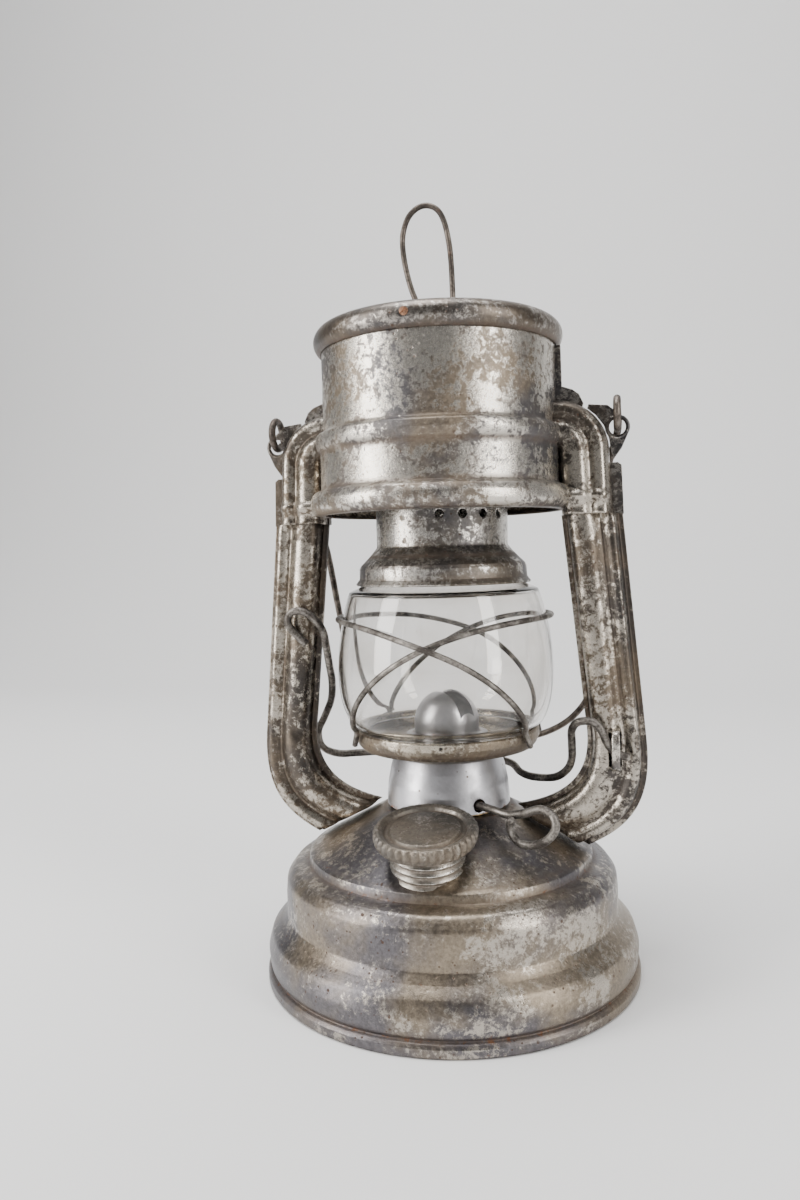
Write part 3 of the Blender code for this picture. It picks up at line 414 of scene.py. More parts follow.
def block(low, high, turn=0.0):
    """A box cutter, turned about Z."""
    work = bmesh.new()
    bmesh.ops.create_cube(work, size=1.0)
    size = [b - a for a, b in zip(low, high)]
    bmesh.ops.scale(work, vec=size, verts=work.verts)
    bmesh.ops.translate(work, vec=[(a + b) / 2 for a, b in zip(low, high)], verts=work.verts)
    bmesh.ops.rotate(work, cent=(0, 0, 0), matrix=Matrix.Rotation(turn, 3, "Z"), verts=work.verts)
    return cutter_mesh(work)


def rounded(corners, step=0.25):
    """A line in metres with rounded corners, from (r, z, radius, darkening) corners in millimetres; the
    darkening is grime and rust, and partly painted shade in creases.
    """
    places = []
    points = [Vector(corner[:2]) for corner in corners]
    for index, corner in enumerate(corners):
        radius = corner[2] if len(corner) > 2 else 0.0
        here = points[index]
        if index in (0, len(corners) - 1) or radius <= 0:
            places.append(here)
            continue
        before = (points[index - 1] - here).normalized()
        after = (points[index + 1] - here).normalized()
        angle = before.angle(after)
        room = 0.49 * min((points[index - 1] - here).length, (points[index + 1] - here).length)
        reach = min(radius / max(math.tan(angle / 2), 1e-4), room)
        start, end = here + before * reach, here + after * reach
        count = max(3, int((math.pi - angle) * reach / step / 2) + 3)
        for number in range(count):
            t = number / (count - 1)
            places.append(start * (1 - t) ** 2 + here * 2 * t * (1 - t) + end * t * t)
    return [(place.x * MM, place.y * MM) for place in places]


def filled(profile, corners, spacing=1.2 * MM, reach=1.1):
    """Adds points on the long straights of a profile, and works out the darkening near its corners:
    grime and rust, and partly painted shade in the creases.

    A corner's darkening fades out over the reach, in millimetres.
    """
    places = [profile[0]]
    for a, b in zip(profile, profile[1:]):
        pieces = max(1, int(math.dist(a, b) / spacing))
        for number in range(1, pieces + 1):
            t = number / pieces
            places.append((a[0] + (b[0] - a[0]) * t, a[1] + (b[1] - a[1]) * t))
    amounts = []
    for r, z in places:
        # Darkening near each corner: grime and rust, and partly painted shade in the crease.
        grime_and_shade = 0.0
        for corner in corners:
            if len(corner) > 3 and corner[3] > 0:
                away = math.dist((r / MM, z / MM), corner[:2]) / reach
                grime_and_shade = max(grime_and_shade, corner[3] * math.exp(-away * away))
        amounts.append(grime_and_shade)
    return places, amounts


def dented(points, depth, size):
    """Pushes points in and out a little along the line from the axis, as in thin old sheet."""
    flat = points.reshape(-1, 3)
    for place in flat:
        out = Vector((place[0], place[1], 0.0))
        if out.length < 1e-6:
            continue
        shift = noise.noise(Vector(place) / size)
        place[:2] += np.array(out.normalized().xy) * shift * depth
    return flat.reshape(points.shape)


def turned(name, corners, steps=144, arc=None, dents=0.0, dent_size=0.02, flip=False):
    """Turns rounded corners about Z, or through an arc (start, end) in radians."""
    profile, grime_and_shade = filled(rounded(corners), corners)
    if arc:
        angles = np.linspace(arc[0], arc[1], steps)
    else:
        angles = np.arange(steps) * math.tau / steps
    radii = np.array([r for r, z in profile])[:, None]
    heights = np.array([z for r, z in profile])[:, None]
    points = np.stack([radii * np.cos(angles), radii * np.sin(angles),
                       heights * np.ones_like(angles)], -1)
    if dents:
        points = dented(points, dents, dent_size)
    return grid_object(name, points, arc is None, np.array(grime_and_shade)[:, None], flip)


def smooth_route(points, spacing):
    """Catmull-Rom points through given points, about one per spacing."""
    points = [Vector(point) for point in points]
    padded = [2 * points[0] - points[1], *points, 2 * points[-1] - points[-2]]
    route = [points[0]]
    for before, start, end, after in zip(padded, padded[1:], padded[2:], padded[3:]):
        pieces = max(1, round((end - start).length / spacing))
        for step in range(1, pieces + 1):
            t = step / pieces
            route.append(0.5 * (2 * start + (end - before) * t
                                + (2 * before - 5 * start + 4 * end - after) * t * t
                                + (3 * start - before - 3 * end + after) * t ** 3))
    return route


WIRE_END = 0.72                # a wire end's radius, as a share of the wire's


def wire(name, route, radius, closed=False):
    """A round wire along a route; its ends are cut blunt, with a small bevel."""
    curve = bpy.data.curves.new(name, "CURVE")
    curve.dimensions = "3D"
    curve.bevel_depth = radius
    curve.bevel_resolution = 5
    curve.use_fill_caps = True
    spline = curve.splines.new("POLY")
    if not closed:
        first = route[0] + (route[0] - route[1]).normalized() * radius * 0.3
        last = route[-1] + (route[-1] - route[-2]).normalized() * radius * 0.3
        route = [first, *route, last]
    spline.points.add(len(route) - 1)
    for point, place in zip(spline.points, route):
        point.co = (*place, 1.0)
        point.radius = 1.0 + 0.035 * noise.noise(Vector(place) * 260)
    if not closed:
        spline.points[0].radius = WIRE_END
        spline.points[-1].radius = WIRE_END
    spline.use_cyclic_u = closed
    spline.use_smooth = True
    return linked(name, curve)


def metres(points):
    """Vectors in metres, from points in millimetres."""
    return [Vector(point) * MM for point in points]


# ---------------------------------------------------------------- fount and plug

def bezier(start, first, second, end, count):
    """Points of a cubic in millimetres, given in metres."""
    start, first, second, end = (Vector(point) * MM for point in (start, first, second, end))
    places = []
    for index in range(count + 1):
        t = index / count
        places.append(start * (1 - t) ** 3 + first * 3 * t * (1 - t) ** 2
                      + second * 3 * t * t * (1 - t) + end * t ** 3)
    return places


def fount():
    """Pressed shell: cone top, sharp ridge, concave shoulder, wall, crease, bulge and foot."""
    corners = [(10.4, 48.0), (19.0, 48.0, 1.5, 1.0), (29.0, 42.6, 8.0, 0.3), (40.4, 36.4, 0.6, 0.5),
               (41.7, 35.6, 0.5, 0.0), (42.0, 33.3, 0.35, 0.8), (46.4, 32.0, 2.6),
               (48.6, 29.0, 2.6, 0.1), (48.9, 25.0, 3.0, 0.0), (48.9, 18.6, 1.2),
               (50.6, 16.3, 1.3, 0.35), (53.4, 13.6, 2.6), (54.6, 9.4, 3.4, 0.0),
               (54.2, 5.0, 2.0, 0.4), (53.4, 3.9, 0.4, 1.0), (54.4, 3.5, 0.4, 0.6),
               (55.0, 2.6, 0.6, 0.1), (55.0, 0.5, 0.4, 0.3), (54.5, 0.0, 0.2, 0.5), (52.7, 0.0)]
    shell = turned("fount_body", corners, 220, flip=True)
    add_sheet(shell, 0.8 * MM)
    return finished(shell, "lantern", ["fount_shell"], FOUNT_TIN)


PLUG_TILT = math.radians(11.0)
FLUTES = 36
FLUTE_DEPTH = 0.62 * MM
PLUG_PLACE = Matrix.Translation(joint_place("plug_turn")) @ Matrix.Rotation(PLUG_TILT, 4, "X")


def plug():
    """Fluted head with a dished top, and a real helical thread under it."""
    corners = [(0.0, -0.45), (6.0, -0.5, 0.5), (9.3, -0.62, 0.3), (9.8, -1.35, 0.2, 0.7),
               (10.9, -1.4, 0.3, 0.7), (11.5, -0.5, 0.4, 0.2), (12.5, -0.02, 0.4, 0.0),
               (13.4, -0.15, 0.4, 0.0), (14.0, -0.8, 0.4, 0.0), (14.05, -2.5, 0.6, 0.1),
               (13.5, -4.0, 0.5, 0.4), (12.7, -4.18, 0.3, 0.6), (12.6, -2.9, 0.2, 0.8),
               (9.35, -2.9, 0.2, 1.0)]
    profile, grime_and_shade = filled(rounded(corners, 0.2), corners, 0.35 * MM, 0.5)
    steps = FLUTES * 12
    angles = np.arange(steps) * math.tau / steps
    radii = np.array([r for r, z in profile])[:, None] * np.ones(steps)
    heights = np.array([z for r, z in profile])[:, None] * np.ones(steps)
    flute = 0.5 + 0.5 * np.cos(angles * FLUTES)
    edge = np.clip((radii / MM - 12.35) / 0.9, 0.0, 1.0) * np.clip((-heights / MM) / 0.5, 0.1, 1.0)
    edge *= np.clip((heights / MM + 4.1) / 0.8, 0.0, 1.0)
    radii = radii - FLUTE_DEPTH * edge * (1.0 - flute ** 0.55)
    points = np.stack([radii * np.cos(angles), radii * np.sin(angles), heights], -1)
    # Darker in the flute grooves and at the profile's corners: partly grime, partly painted shade in
    # the grooves.
    grime_and_hollow_shade = np.array(grime_and_shade)[:, None] + 0.4 * edge * (1 - flute)
    head = grid_object("plug_head", points, True, grime_and_hollow_shade, flip=True)
    head.data.transform(PLUG_PLACE)
    finished(head, "plug", ["filler_plug"], ZINC)

    crest, root, pitch = 10.1 * MM, 9.3 * MM, 2.0 * MM
    steps, turns = 96, 5.2
    rows = []
    shape = [(-0.5, 0.0), (-0.32, 0.0), (-0.14, 0.9), (0.0, 1.0), (0.14, 0.9), (0.32, 0.0),
             (0.5, 0.0)]
    for index in range(int(steps * turns)):
        angle = math.tau * index / steps
        middle = -3.6 * MM - pitch * index / steps
        fade = min(1.0, index / 20, (steps * turns - index) / 30)
        ring = []
        for share, lift in shape:
            radius = root + (crest - root) * lift * fade
            ring.append((radius * math.cos(angle), radius * math.sin(angle),
                         max(middle + share * pitch, -14.15 * MM)))
        rows.append(ring)
    thread = grid_object("plug_thread", np.array(rows), False,
                         np.array([1.0, 0.9, 0.2, 0.0, 0.2, 0.9, 1.0])[None, :])
    core = turned("plug_core", [(9.28, -2.9), (9.28, -14.0, 0.4), (8.0, -14.15, 0.3), (0.0, -14.15)],
                  96)
    for piece in (thread, core):
        piece.data.transform(PLUG_PLACE)
        finished(piece, "plug", ["filler_plug"], SHINY_ZINC)


fount()
plug()


# ---------------------------------------------------------------- pressed tubes

TUBE_OUTLINE = [(0.0, 0.0), (0.045, 0.0), (0.078, 0.1), (0.09, 0.9), (0.12, 3.7), (0.20, 5.3),
                (0.34, 5.85), (0.47, 5.3), (0.57, 3.9), (0.64, 3.15), (0.70, 3.75), (0.78, 4.3),
                (0.865, 3.7), (0.905, 0.9), (0.92, 0.1), (0.955, 0.0), (1.0, 0.0)]
ELBOW_OUTLINE = [(0.0, 0.0), (0.02, 3.0), (0.12, 5.7), (0.30, 6.6), (0.46, 6.3), (0.58, 4.9),
                 (0.63, 4.6), (0.74, 5.3), (0.88, 4.9), (0.97, 2.8), (1.0, 0.0)]


TUBE_WAVE = 0.12 * MM          # how uneven the pressed sheet is
TUBE_WAVE_SIZE = 9 * MM


def smooth_outline(outline, count):
    """Evenly spaced points with a rounded run through an outline; also how deep each lies."""
    route = smooth_route([(f * 12.0, t, 0.0) for f, t in outline], 0.4)
    lengths = np.cumsum([0.0] + [(b - a).length for a, b in zip(route, route[1:])])
    even = np.linspace(0.0, lengths[-1], count)
    fractions = np.interp(even, lengths, [point.x / 12.0 for point in route])
    depths = np.maximum(np.interp(even, lengths, [point.y for point in route]), 0.0)
    # Darker in the hollows of the outline and on its flat flanges: partly grime, partly painted shade
    # in the hollows.
    blurred = np.convolve(np.pad(depths, 6, mode="edge"), np.ones(13) / 13, "valid")
    hollow = np.clip((blurred - depths) * 1.3, 0.0, 1.0)
    flange = np.clip(0.5 - depths, 0.0, 0.5) * 0.6
    return fractions, depths, hollow + flange


def pressed(name, outline, inner, outer, side, face, base, shape):
    """One pressed half between two rails in the seam plane, open at both ends."""
    fractions, depths, grime_and_hollow_shade = smooth_outline(outline, 120)
    inner, outer = np.array(inner), np.array(outer)
    rows = inner[:, None, :] + (outer - inner)[:, None, :] * fractions[None, :, None]
    depth = shape(rows, base + depths[None, :] * MM * np.ones(len(inner))[:, None], depths)
    points = np.stack([side * rows[..., 0], face * depth, rows[..., 1]], -1)
    flat = points.reshape(-1, 3)
    weight = np.broadcast_to(np.clip(depths / 3.0, 0.0, 1.0)[None, :], depth.shape).ravel()
    for place, share in zip(flat, weight):
        place[1] += face * TUBE_WAVE * share * noise.noise(Vector(place) / TUBE_WAVE_SIZE)
    points = flat.reshape(points.shape)
    piece = grid_object(name, points, False, grime_and_hollow_shade[None, :], flip=side * face < 0)
    return add_sheet(piece, 0.5 * MM)


def tubes():
    neck = [Vector((48.1, 143.0)), Vector((48.2, 132.9))]
    outer = [point * MM for point in neck]
    outer += [Vector((51.9, 132.3)) * MM]
    outer += bezier((57.5, 68.0), (58.95, 50.0), (52.0, 43.0), (41.0, 37.6), 24)
    inner = [Vector((36.1, 143.0)) * MM, Vector((36.1, 132.9)) * MM, Vector((34.95, 132.3)) * MM]
    inner += bezier((40.6, 75.0), (42.5, 62.0), (39.5, 52.0), (20.8, 48.6), 24)

    def between(rail):
        straight = [rail[2].lerp(rail[3], index / 30) for index in range(30)]
        return [rail[0], rail[1], *straight, *rail[3:]]

    outer, inner = between(outer), between(inner)
    for side_name, side in (("left", -1), ("right", 1)):
        for face_name, face in (("front", -1), ("rear", 1)):
            name = f"{side_name}_tube_{face_name}"
            dents = ()
            if name == "left_tube_front":
                dents = (((45.5, 70.0), 2.6, 0.9), ((43.0, 117.0), 2.2, 0.35))

            def shape(rows, depth, depths, dents=dents):
                for (x, z), size, amount in dents:
                    away = (rows[..., 0] / MM - x) ** 2 + (rows[..., 1] / MM - z) ** 2
                    depth = depth - amount * MM * np.exp(-away / size ** 2)
                return depth

            half = pressed(name + "_pressing", TUBE_OUTLINE, inner, outer, side, face, 0.65 * MM,
                           shape)
            if name == "right_tube_front":
                apply_modifiers(half)
                cut(half, block((47.1 * MM, -9 * MM, 61.7 * MM), (50.6 * MM, -2 * MM, 71.3 * MM)))
                half.data.shade_smooth()
            finished(half, "lantern", [name], TUBE_TIN)
    strap()


def strap():
    """Arched strap over the lever's end, pressed out of the right tube's face."""
    line = [(-4.4, 60.6), (-6.6, 60.6), (-8.6, 61.2), (-9.6, 62.8), (-9.85, 66.5), (-9.6, 70.2),
            (-8.6, 71.9), (-6.6, 72.5), (-4.4, 72.5)]
    route = smooth_route([(0.0, y * MM, z * MM) for y, z in line], 0.5 * MM)
    rows = []
    for place in route:
        across = []
        for share in np.linspace(-1.0, 1.0, 9):
            edge = abs(share) ** 6 * 0.25 * MM
            across.append((49.15 * MM + share * 1.15 * MM, place.y + edge, place.z))
        rows.append(across)
    piece = grid_object("lever_strap", np.array(rows), False, flip=False)
    add_sheet(piece, 0.6 * MM)
    finished(piece, "lantern", ["right_tube_front"], TIN)


tubes()


# ---------------------------------------------------------------- hood

HOOD_CORNERS = [(33.9, 185.0, 0, 0.6), (33.9, 181.0, 0, 0.35), (33.9, 158.2, 1.2, 0.5),
                (35.9, 157.2, 0.9, 0.3), (36.35, 155.2, 1.2, 0.0), (35.9, 153.2, 0.9, 0.4),
                (35.0, 152.2, 0.6, 0.9), (35.0, 141.6, 0.7, 0.8), (37.2, 140.6, 1.4, 0.5),
                (38.25, 138.6, 1.6, 0.0), (38.15, 136.2, 1.6, 0.2), (36.6, 134.3, 1.4, 0.9),
                (34.4, 134.1, 0.8, 1.2)]


def elbow_shape(rows, depth, depths):
    """Adds the rib that carries the drum's bottom bead across the elbow."""
    rib = np.exp(-((rows[..., 1] / MM - 137.4) / 1.5) ** 2)
    lip = np.exp(-((rows[..., 1] / MM - 132.9) / 0.5) ** 2)
    share = np.clip(depths / 2.5, 0.0, 1.0)[None, :]
    return depth + (1.15 * rib + 0.25 * lip) * MM * share


def elbow_rails():
    corner = Vector((33.6, 149.8)) * MM

    def bend(radius, count):
        places = []
        for index in range(count + 1):
            angle = math.radians(90 - 90 * index / count)
            places.append(corner + Vector((math.cos(angle), math.sin(angle))) * radius * MM)
        return places

    count = 40
    outer = [Vector((30.5, 164.7)) * MM, *bend(14.9, count)]
    inner = [Vector((30.5, 149.0)) * MM, *bend(1.0, count)]
    ends = (Vector((49.2, 132.25)) * MM, Vector((35.2, 132.25)) * MM)
    outer += [outer[-1].lerp(ends[0], index / 40) for index in range(1, 41)]
    inner += [inner[-1].lerp(ends[1], index / 40) for index in range(1, 41)]
    return inner, outer


def flat_plate(name, outline, low, high, holes=()):
    """A flat piece in the seam plane between two values of y, with softened edges."""
    work = bmesh.new()
    verts = [work.verts.new((x * MM, low, z * MM)) for x, z in outline]
    face = work.faces.new(verts)
    grown = bmesh.ops.extrude_face_region(work, geom=[face])
    moved = [item for item in grown["geom"] if isinstance(item, bmesh.types.BMVert)]
    bmesh.ops.translate(work, vec=(0.0, high - low, 0.0), verts=moved)
    bmesh.ops.recalc_face_normals(work, faces=work.faces)
    mesh = bpy.data.meshes.new(name)
    work.to_mesh(mesh)
    work.free()
    piece = linked(name, mesh)
    for centre, radius in holes:
        start = Vector((centre[0] * MM, low - MM, centre[1] * MM))
        end = Vector((centre[0] * MM, high + MM, centre[1] * MM))
        cut(piece, rod(start, end, radius * MM, 48))
    return soften_edges(piece, 0.12 * MM, 2, angle=30.0)


def hood():
    inner, outer = elbow_rails()
    seam = 0.15 * MM
    for face_name, face in (("front", -1), ("rear", 1)):
        node = "hood_" + face_name
        start = math.pi if face < 0 else 0.0
        tiny = seam / (35 * MM)
        drum = turned(node + "_drum", HOOD_CORNERS, 150, (start + tiny, start + math.pi - tiny),
                      dents=0.14 * MM, dent_size=0.013, flip=True)
        add_sheet(drum, 0.6 * MM)
        finished(drum, "lantern", [node], TIN)
        for side_name, side in (("left", -1), ("right", 1)):
            elbow = pressed(f"{node}_{side_name}_elbow", ELBOW_OUTLINE, inner, outer, side, face,
                            0.8 * MM, elbow_shape)
            finished(elbow, "lantern", [node], TUBE_TIN)
            low, high = sorted((face * seam, face * 0.65 * MM))
            strips = (("shoulder", ((33.0, 160.0), (40.4, 160.0), (41.6, 163.6), (40.4, 166.2),
                                    (38.6, 167.6), (35.7, 168.6), (35.5, 180.2), (33.0, 180.2))),
                      ("sleeve", ((47.0, 132.2), (52.2, 132.2), (51.8, 145.8), (50.8, 146.6),
                                  (47.0, 146.6))))
            for strip_name, outline in strips:
                strip = flat_plate(f"{node}_{side_name}_{strip_name}_seam",
                                   [(side * x, z) for x, z in outline], low, high)
                finished(strip, "lantern", [node], BEAD_TIN)


def hood_trim():
    ring = []
    for index in range(37):
        angle = math.radians(232 - 293 * index / 36)
        ring.append((32.1 + 3.5 * math.cos(angle), 183.8 + 3.5 * math.sin(angle), 0.0,
                     1.0 if index > 34 else 0.0))
    rolled = turned("hood_rolled_ring", ring, 180, dents=0.1 * MM, dent_size=0.02, flip=False)
    add_sheet(rolled, 0.5 * MM)
    finished(rolled, "lantern", ["hood_ring"], BEAD_TIN)
    for side_name, side in (("left", -1), ("right", 1)):
        outline = [(side * x, z) for x, z in (
            (49.6, 147.4), (48.9, 150.0), (48.4, 153.5), (47.0, 157.2), (44.8, 160.2),
            (42.6, 162.0), (43.0, 163.2), (48.2, 162.6), (51.4, 159.9), (53.8, 158.0),
            (53.9, 155.0), (51.9, 150.6))]
        centre = (side * 50.8, 156.4)
        ear = flat_plate(side_name + "_ear_blade", outline, -0.45 * MM, 0.45 * MM,
                         [(centre, 2.7)])
        rim = [Vector((centre[0] * MM + math.cos(angle) * 2.85 * MM, 0.0,
                       centre[1] * MM + math.sin(angle) * 2.85 * MM))
               for angle in np.arange(56) * math.tau / 56]
        roll = wire(side_name + "_ear_rim", rim, 0.6 * MM, closed=True)
        for piece in (ear, roll):
            finished(piece, "lantern", [side_name + "_ear"], BEAD_TIN)


hood()
hood_trim()


# ---------------------------------------------------------------- chimney and lift ring

def around(azimuth, radius, height):
    """A point by its azimuth in radians from -Y towards +X, its radius and its height."""
    return Vector((math.sin(azimuth) * radius, -math.cos(azimuth) * radius, height))


def chimney():
    corners = [(19.3, 152.0), (19.3, 124.6, 1.2, 0.3), (21.6, 121.9, 2.0, 0.9), (24.1, 119.4, 0.8, 0.5),
               (24.6, 118.4, 0.4, 0.1), (24.65, 115.5, 0.6, 0.5), (25.65, 114.15, 0.2, 0.2),
               (25.75, 114.1)]
    neck = turned("chimney_neck", corners, 168, dents=0.1 * MM, dent_size=0.012, flip=True)
    add_sheet(neck, 0.5 * MM)
    apply_modifiers(neck)
    for group in (10, 190):
        for index in range(4):
            azimuth = math.radians(group + 19.3 * index)
            cut(neck, rod(around(azimuth, 15 * MM, 133.4 * MM), around(azimuth, 24 * MM, 133.4 * MM),
                          1.3 * MM))
    soften_edges(neck, 0.05 * MM)
    finished(neck, "chimney", ["chimney"], NECK_TIN)


def canopy():
    corners = [(0.0, 160.4), (8.0, 160.4, 3.0), (16.0, 159.6, 4.0), (23.0, 157.4, 3.0),
               (25.7, 155.8, 0.2), (26.0, 155.6)]
    dome = turned("canopy_dome", corners, 120, dents=0.08 * MM, dent_size=0.01, flip=True)
    add_sheet(dome, 0.55 * MM)
    finished(dome, "chimney", ["chimney_canopy"], DARK_TIN)
    for index in range(3):
        turn = Matrix.Rotation(math.radians(90 + 120 * index), 4, "Z")
        leg = flat_plate(f"canopy_leg_{index}", [(17.25, 144.0), (17.85, 144.0), (17.85, 158.9),
                                                 (17.25, 158.9)], -2 * MM, 2 * MM)
        leg.data.transform(turn)
        finished(leg, "chimney", ["chimney_canopy"], DARK_TIN)


def lift_loop():
    points = [(-3.2, 160.7), (-3.2, 170.0), (-3.2, 180.0), (-3.2, 190.5), (-4.6, 193.5),
              (-6.9, 199.0), (-8.5, 205.0), (-9.4, 211.0), (-9.3, 216.0), (-7.6, 220.6),
              (-4.6, 223.1), (-1.4, 223.3), (1.3, 221.6), (3.1, 218.0), (4.3, 212.0),
              (4.8, 206.0), (5.0, 198.0), (5.0, 190.0), (5.0, 180.0), (5.0, 160.7)]
    route = smooth_route([(x * MM, 0.0, z * MM) for x, z in points], 0.6 * MM)
    finished(wire("lift_loop", route, 0.82 * MM), "chimney", ["lift_ring"],
             RUSTY_WIRE)


chimney()
canopy()
lift_loop()


# ---------------------------------------------------------------- globe and its carrier

def glass_outline():
    """Outer side of the glass, from its top rim down to its foot, in metres."""
    line = [Vector(point) * MM for point in ((22.9, 118.0), (22.9, 116.6), (23.05, 115.2),
                                             (23.5, 114.2), (24.6, 113.2))]
    line += bezier((27.8, 111.7), (32.6, 98.0), (32.9, 82.0), (29.3, 74.8), 36)
    line += [Vector(point) * MM for point in ((28.4, 73.3), (26.9, 72.1), (25.2, 71.2),
                                              (24.2, 70.4), (23.9, 69.7))]
    route = smooth_route([(point.x, point.y, 0.0) for point in line], 0.9 * MM)
    return [(point.x, point.y) for point in route]


def blown_globe():
    """Closed double wall of glass with a ground top rim."""
    outside = glass_outline()
    inside = []
    for index, (r, z) in enumerate(outside):
        before = outside[max(0, index - 1)]
        after = outside[min(len(outside) - 1, index + 1)]
        along = Vector((after[0] - before[0], after[1] - before[1])).normalized()
        inside.append((r + along.y * 1.2 * MM, z - along.x * 1.2 * MM))
    loop = outside + inside[::-1] + [outside[0]]
    steps = 160
    angles = np.arange(steps) * math.tau / steps
    points = np.array([[(r * math.cos(a), r * math.sin(a), z) for a in angles] for r, z in loop])
    heights = points[..., 2]
    soot = np.clip((heights / MM - 107.0) / 8.0, 0.0, 1.0) * 0.55
    soot += np.clip((76.0 - heights / MM) / 6.0, 0.0, 1.0) * 0.5
    glass = grid_object("blown_globe", points, True, soot, flip=True)
    work = bmesh.new()
    work.from_mesh(glass.data)
    bmesh.ops.remove_doubles(work, verts=work.verts, dist=1e-6)
    work.to_mesh(glass.data)
    work.free()
    glass.data.shade_smooth()
    finished(glass, "carrier", ["globe"], GLASS)


def plate():
    corners = [(25.8, 71.2), (26.6, 71.5, 0.3), (27.2, 71.0, 0.3), (27.2, 69.0, 0.5, 0.2),
               (26.4, 67.2, 0.6, 0.8), (25.4, 66.0, 0.5, 0.5), (23.4, 66.0, 0.6, 0.9),
               (21.6, 67.3, 0.8, 0.6), (10.3, 67.3, 0, 0.4)]
    dish = turned("globe_dish", corners, 144, dents=0.08 * MM, dent_size=0.01, flip=True)
    add_sheet(dish, 0.5 * MM)
    apply_modifiers(dish)
    for azimuth in (8.0, 98.0, 188.0, 278.0):
        at = math.radians(azimuth)
        cut(dish, rod(around(at, 24 * MM, 69.9 * MM), around(at, 29 * MM, 69.9 * MM), 0.6 * MM, 20))
    soften_edges(dish, 0.05 * MM)
    finished(dish, "carrier", ["globe_plate"], PLATE_TIN)


def dome():
    corners = [(0.0, 82.2)]
    for index in range(1, 25):
        angle = math.radians(90 - 90 * index / 24)
        corners.append((9.6 * math.cos(angle), 72.6 + 9.6 * math.sin(angle)))
    corners += [(9.6, 69.6, 0.0, 0.3), (10.1, 68.9, 0.5, 0.8), (12.2, 68.75)]
    cap = turned("flame_cap", corners, 120, flip=True)
    add_sheet(cap, 0.5 * MM)
    apply_modifiers(cap)
    cut(cap, block((-9.0 * MM, -2.7 * MM, 74.0 * MM), (9.0 * MM, 2.7 * MM, 90 * MM),
                   math.radians(-36)))
    soften_edges(cap, 0.1 * MM, 2, angle=50.0)
    finished(cap, "carrier", ["flame_dome"], ALUMINIUM)


PLATE_RADIUS = 27.2 * MM
GUARD_TOP = 104.0 * MM
GUARD_DROP = 36.0 * MM           # from a guard's top to its ends
GUARD_GAP = 1.35 * MM            # from the glass to the middle of the wire


def guard(node, side, end, lift):
    """Wire loop over the globe, high on its own side, both ends at the plate on the other."""
    outline = glass_outline()
    radii = [r for r, z in outline][::-1]
    heights = [z for r, z in outline][::-1]
    route = []
    count = 150
    for index in range(count + 1):
        angle = end * (2 * index / count - 1)
        drop = (abs(angle) / end) ** 3.3
        height = GUARD_TOP - GUARD_DROP * drop
        radius = max(float(np.interp(height, heights, radii)), PLATE_RADIUS)
        crossing = math.exp(-((abs(angle) - math.pi / 2) / 0.36) ** 2)
        radius += GUARD_GAP + lift * crossing
        route.append(Vector((side * radius * math.cos(angle), radius * math.sin(angle), height)))
    finished(wire(node + "_loop", route, 0.82 * MM), "carrier", [node], WIRE)


blown_globe()
plate()
dome()
guard("guard_wire_a", 1, math.radians(147), 0.0)
guard("guard_wire_b", -1, math.radians(156), 2.3 * MM)


# ---------------------------------------------------------------- burner, winder, lever, bail

WINDER_AZIMUTH = math.radians(54)      # of the shaft, from -Y towards +X
OUTWARD = Vector((math.sin(WINDER_AZIMUTH), -math.cos(WINDER_AZIMUTH), 0.0))
SIDEWAYS = Vector((math.cos(WINDER_AZIMUTH), math.sin(WINDER_AZIMUTH), 0.0))
WINDER = joint_place("winder_turn")


def winder_point(out, side=0.0, up=0.0):
    """A point by its distance out along the winder's shaft, sideways from it and above it."""
    return WINDER + OUTWARD * out + SIDEWAYS * side + Vector((0.0, 0.0, up))


def cone():
    corners = [(11.4, 64.9, 0, 0.5), (14.6, 64.6, 0.8, 0.2), (15.9, 63.4, 1.2), (16.9, 60.0, 3.0),
               (17.8, 55.5, 4.0), (18.2, 51.4, 1.0, 0.1), (18.2, 49.0, 0, 0.8)]
    skin = turned("burner_skin", corners, 144, flip=True)
    add_sheet(skin, 0.55 * MM)
    apply_modifiers(skin)
    cut(skin, rod(winder_point(8 * MM), winder_point(26 * MM), 1.9 * MM))
    soften_edges(skin, 0.06 * MM)
    finished(skin, "lantern", ["burner_cone"], ALUMINIUM)


def winder():
    loop = [(24.0, -0.1, -0.1), (29.0, 0.2, -0.3), (34.2, 0.8, 1.2), (39.4, 1.0, 3.2),
            (43.6, 1.0, 2.2), (44.6, 0.8, -0.8), (42.2, 0.4, -4.2), (38.2, 0.0, -6.4),
            (34.0, -0.6, -7.0), (31.4, -1.2, -5.2), (31.0, -1.9, -2.6), (32.0, -2.4, -0.4)]
    route = [winder_point(-5.7 * MM), winder_point(4 * MM), winder_point(14 * MM),
             winder_point(20 * MM)]
    route += [winder_point(out * MM, side * MM, up * MM) for out, side, up in loop]
    shaft = wire("winder_handle", smooth_route(route, 0.6 * MM), 1.15 * MM)
    finished(shaft, "winder", ["wick_winder"], WIRE)


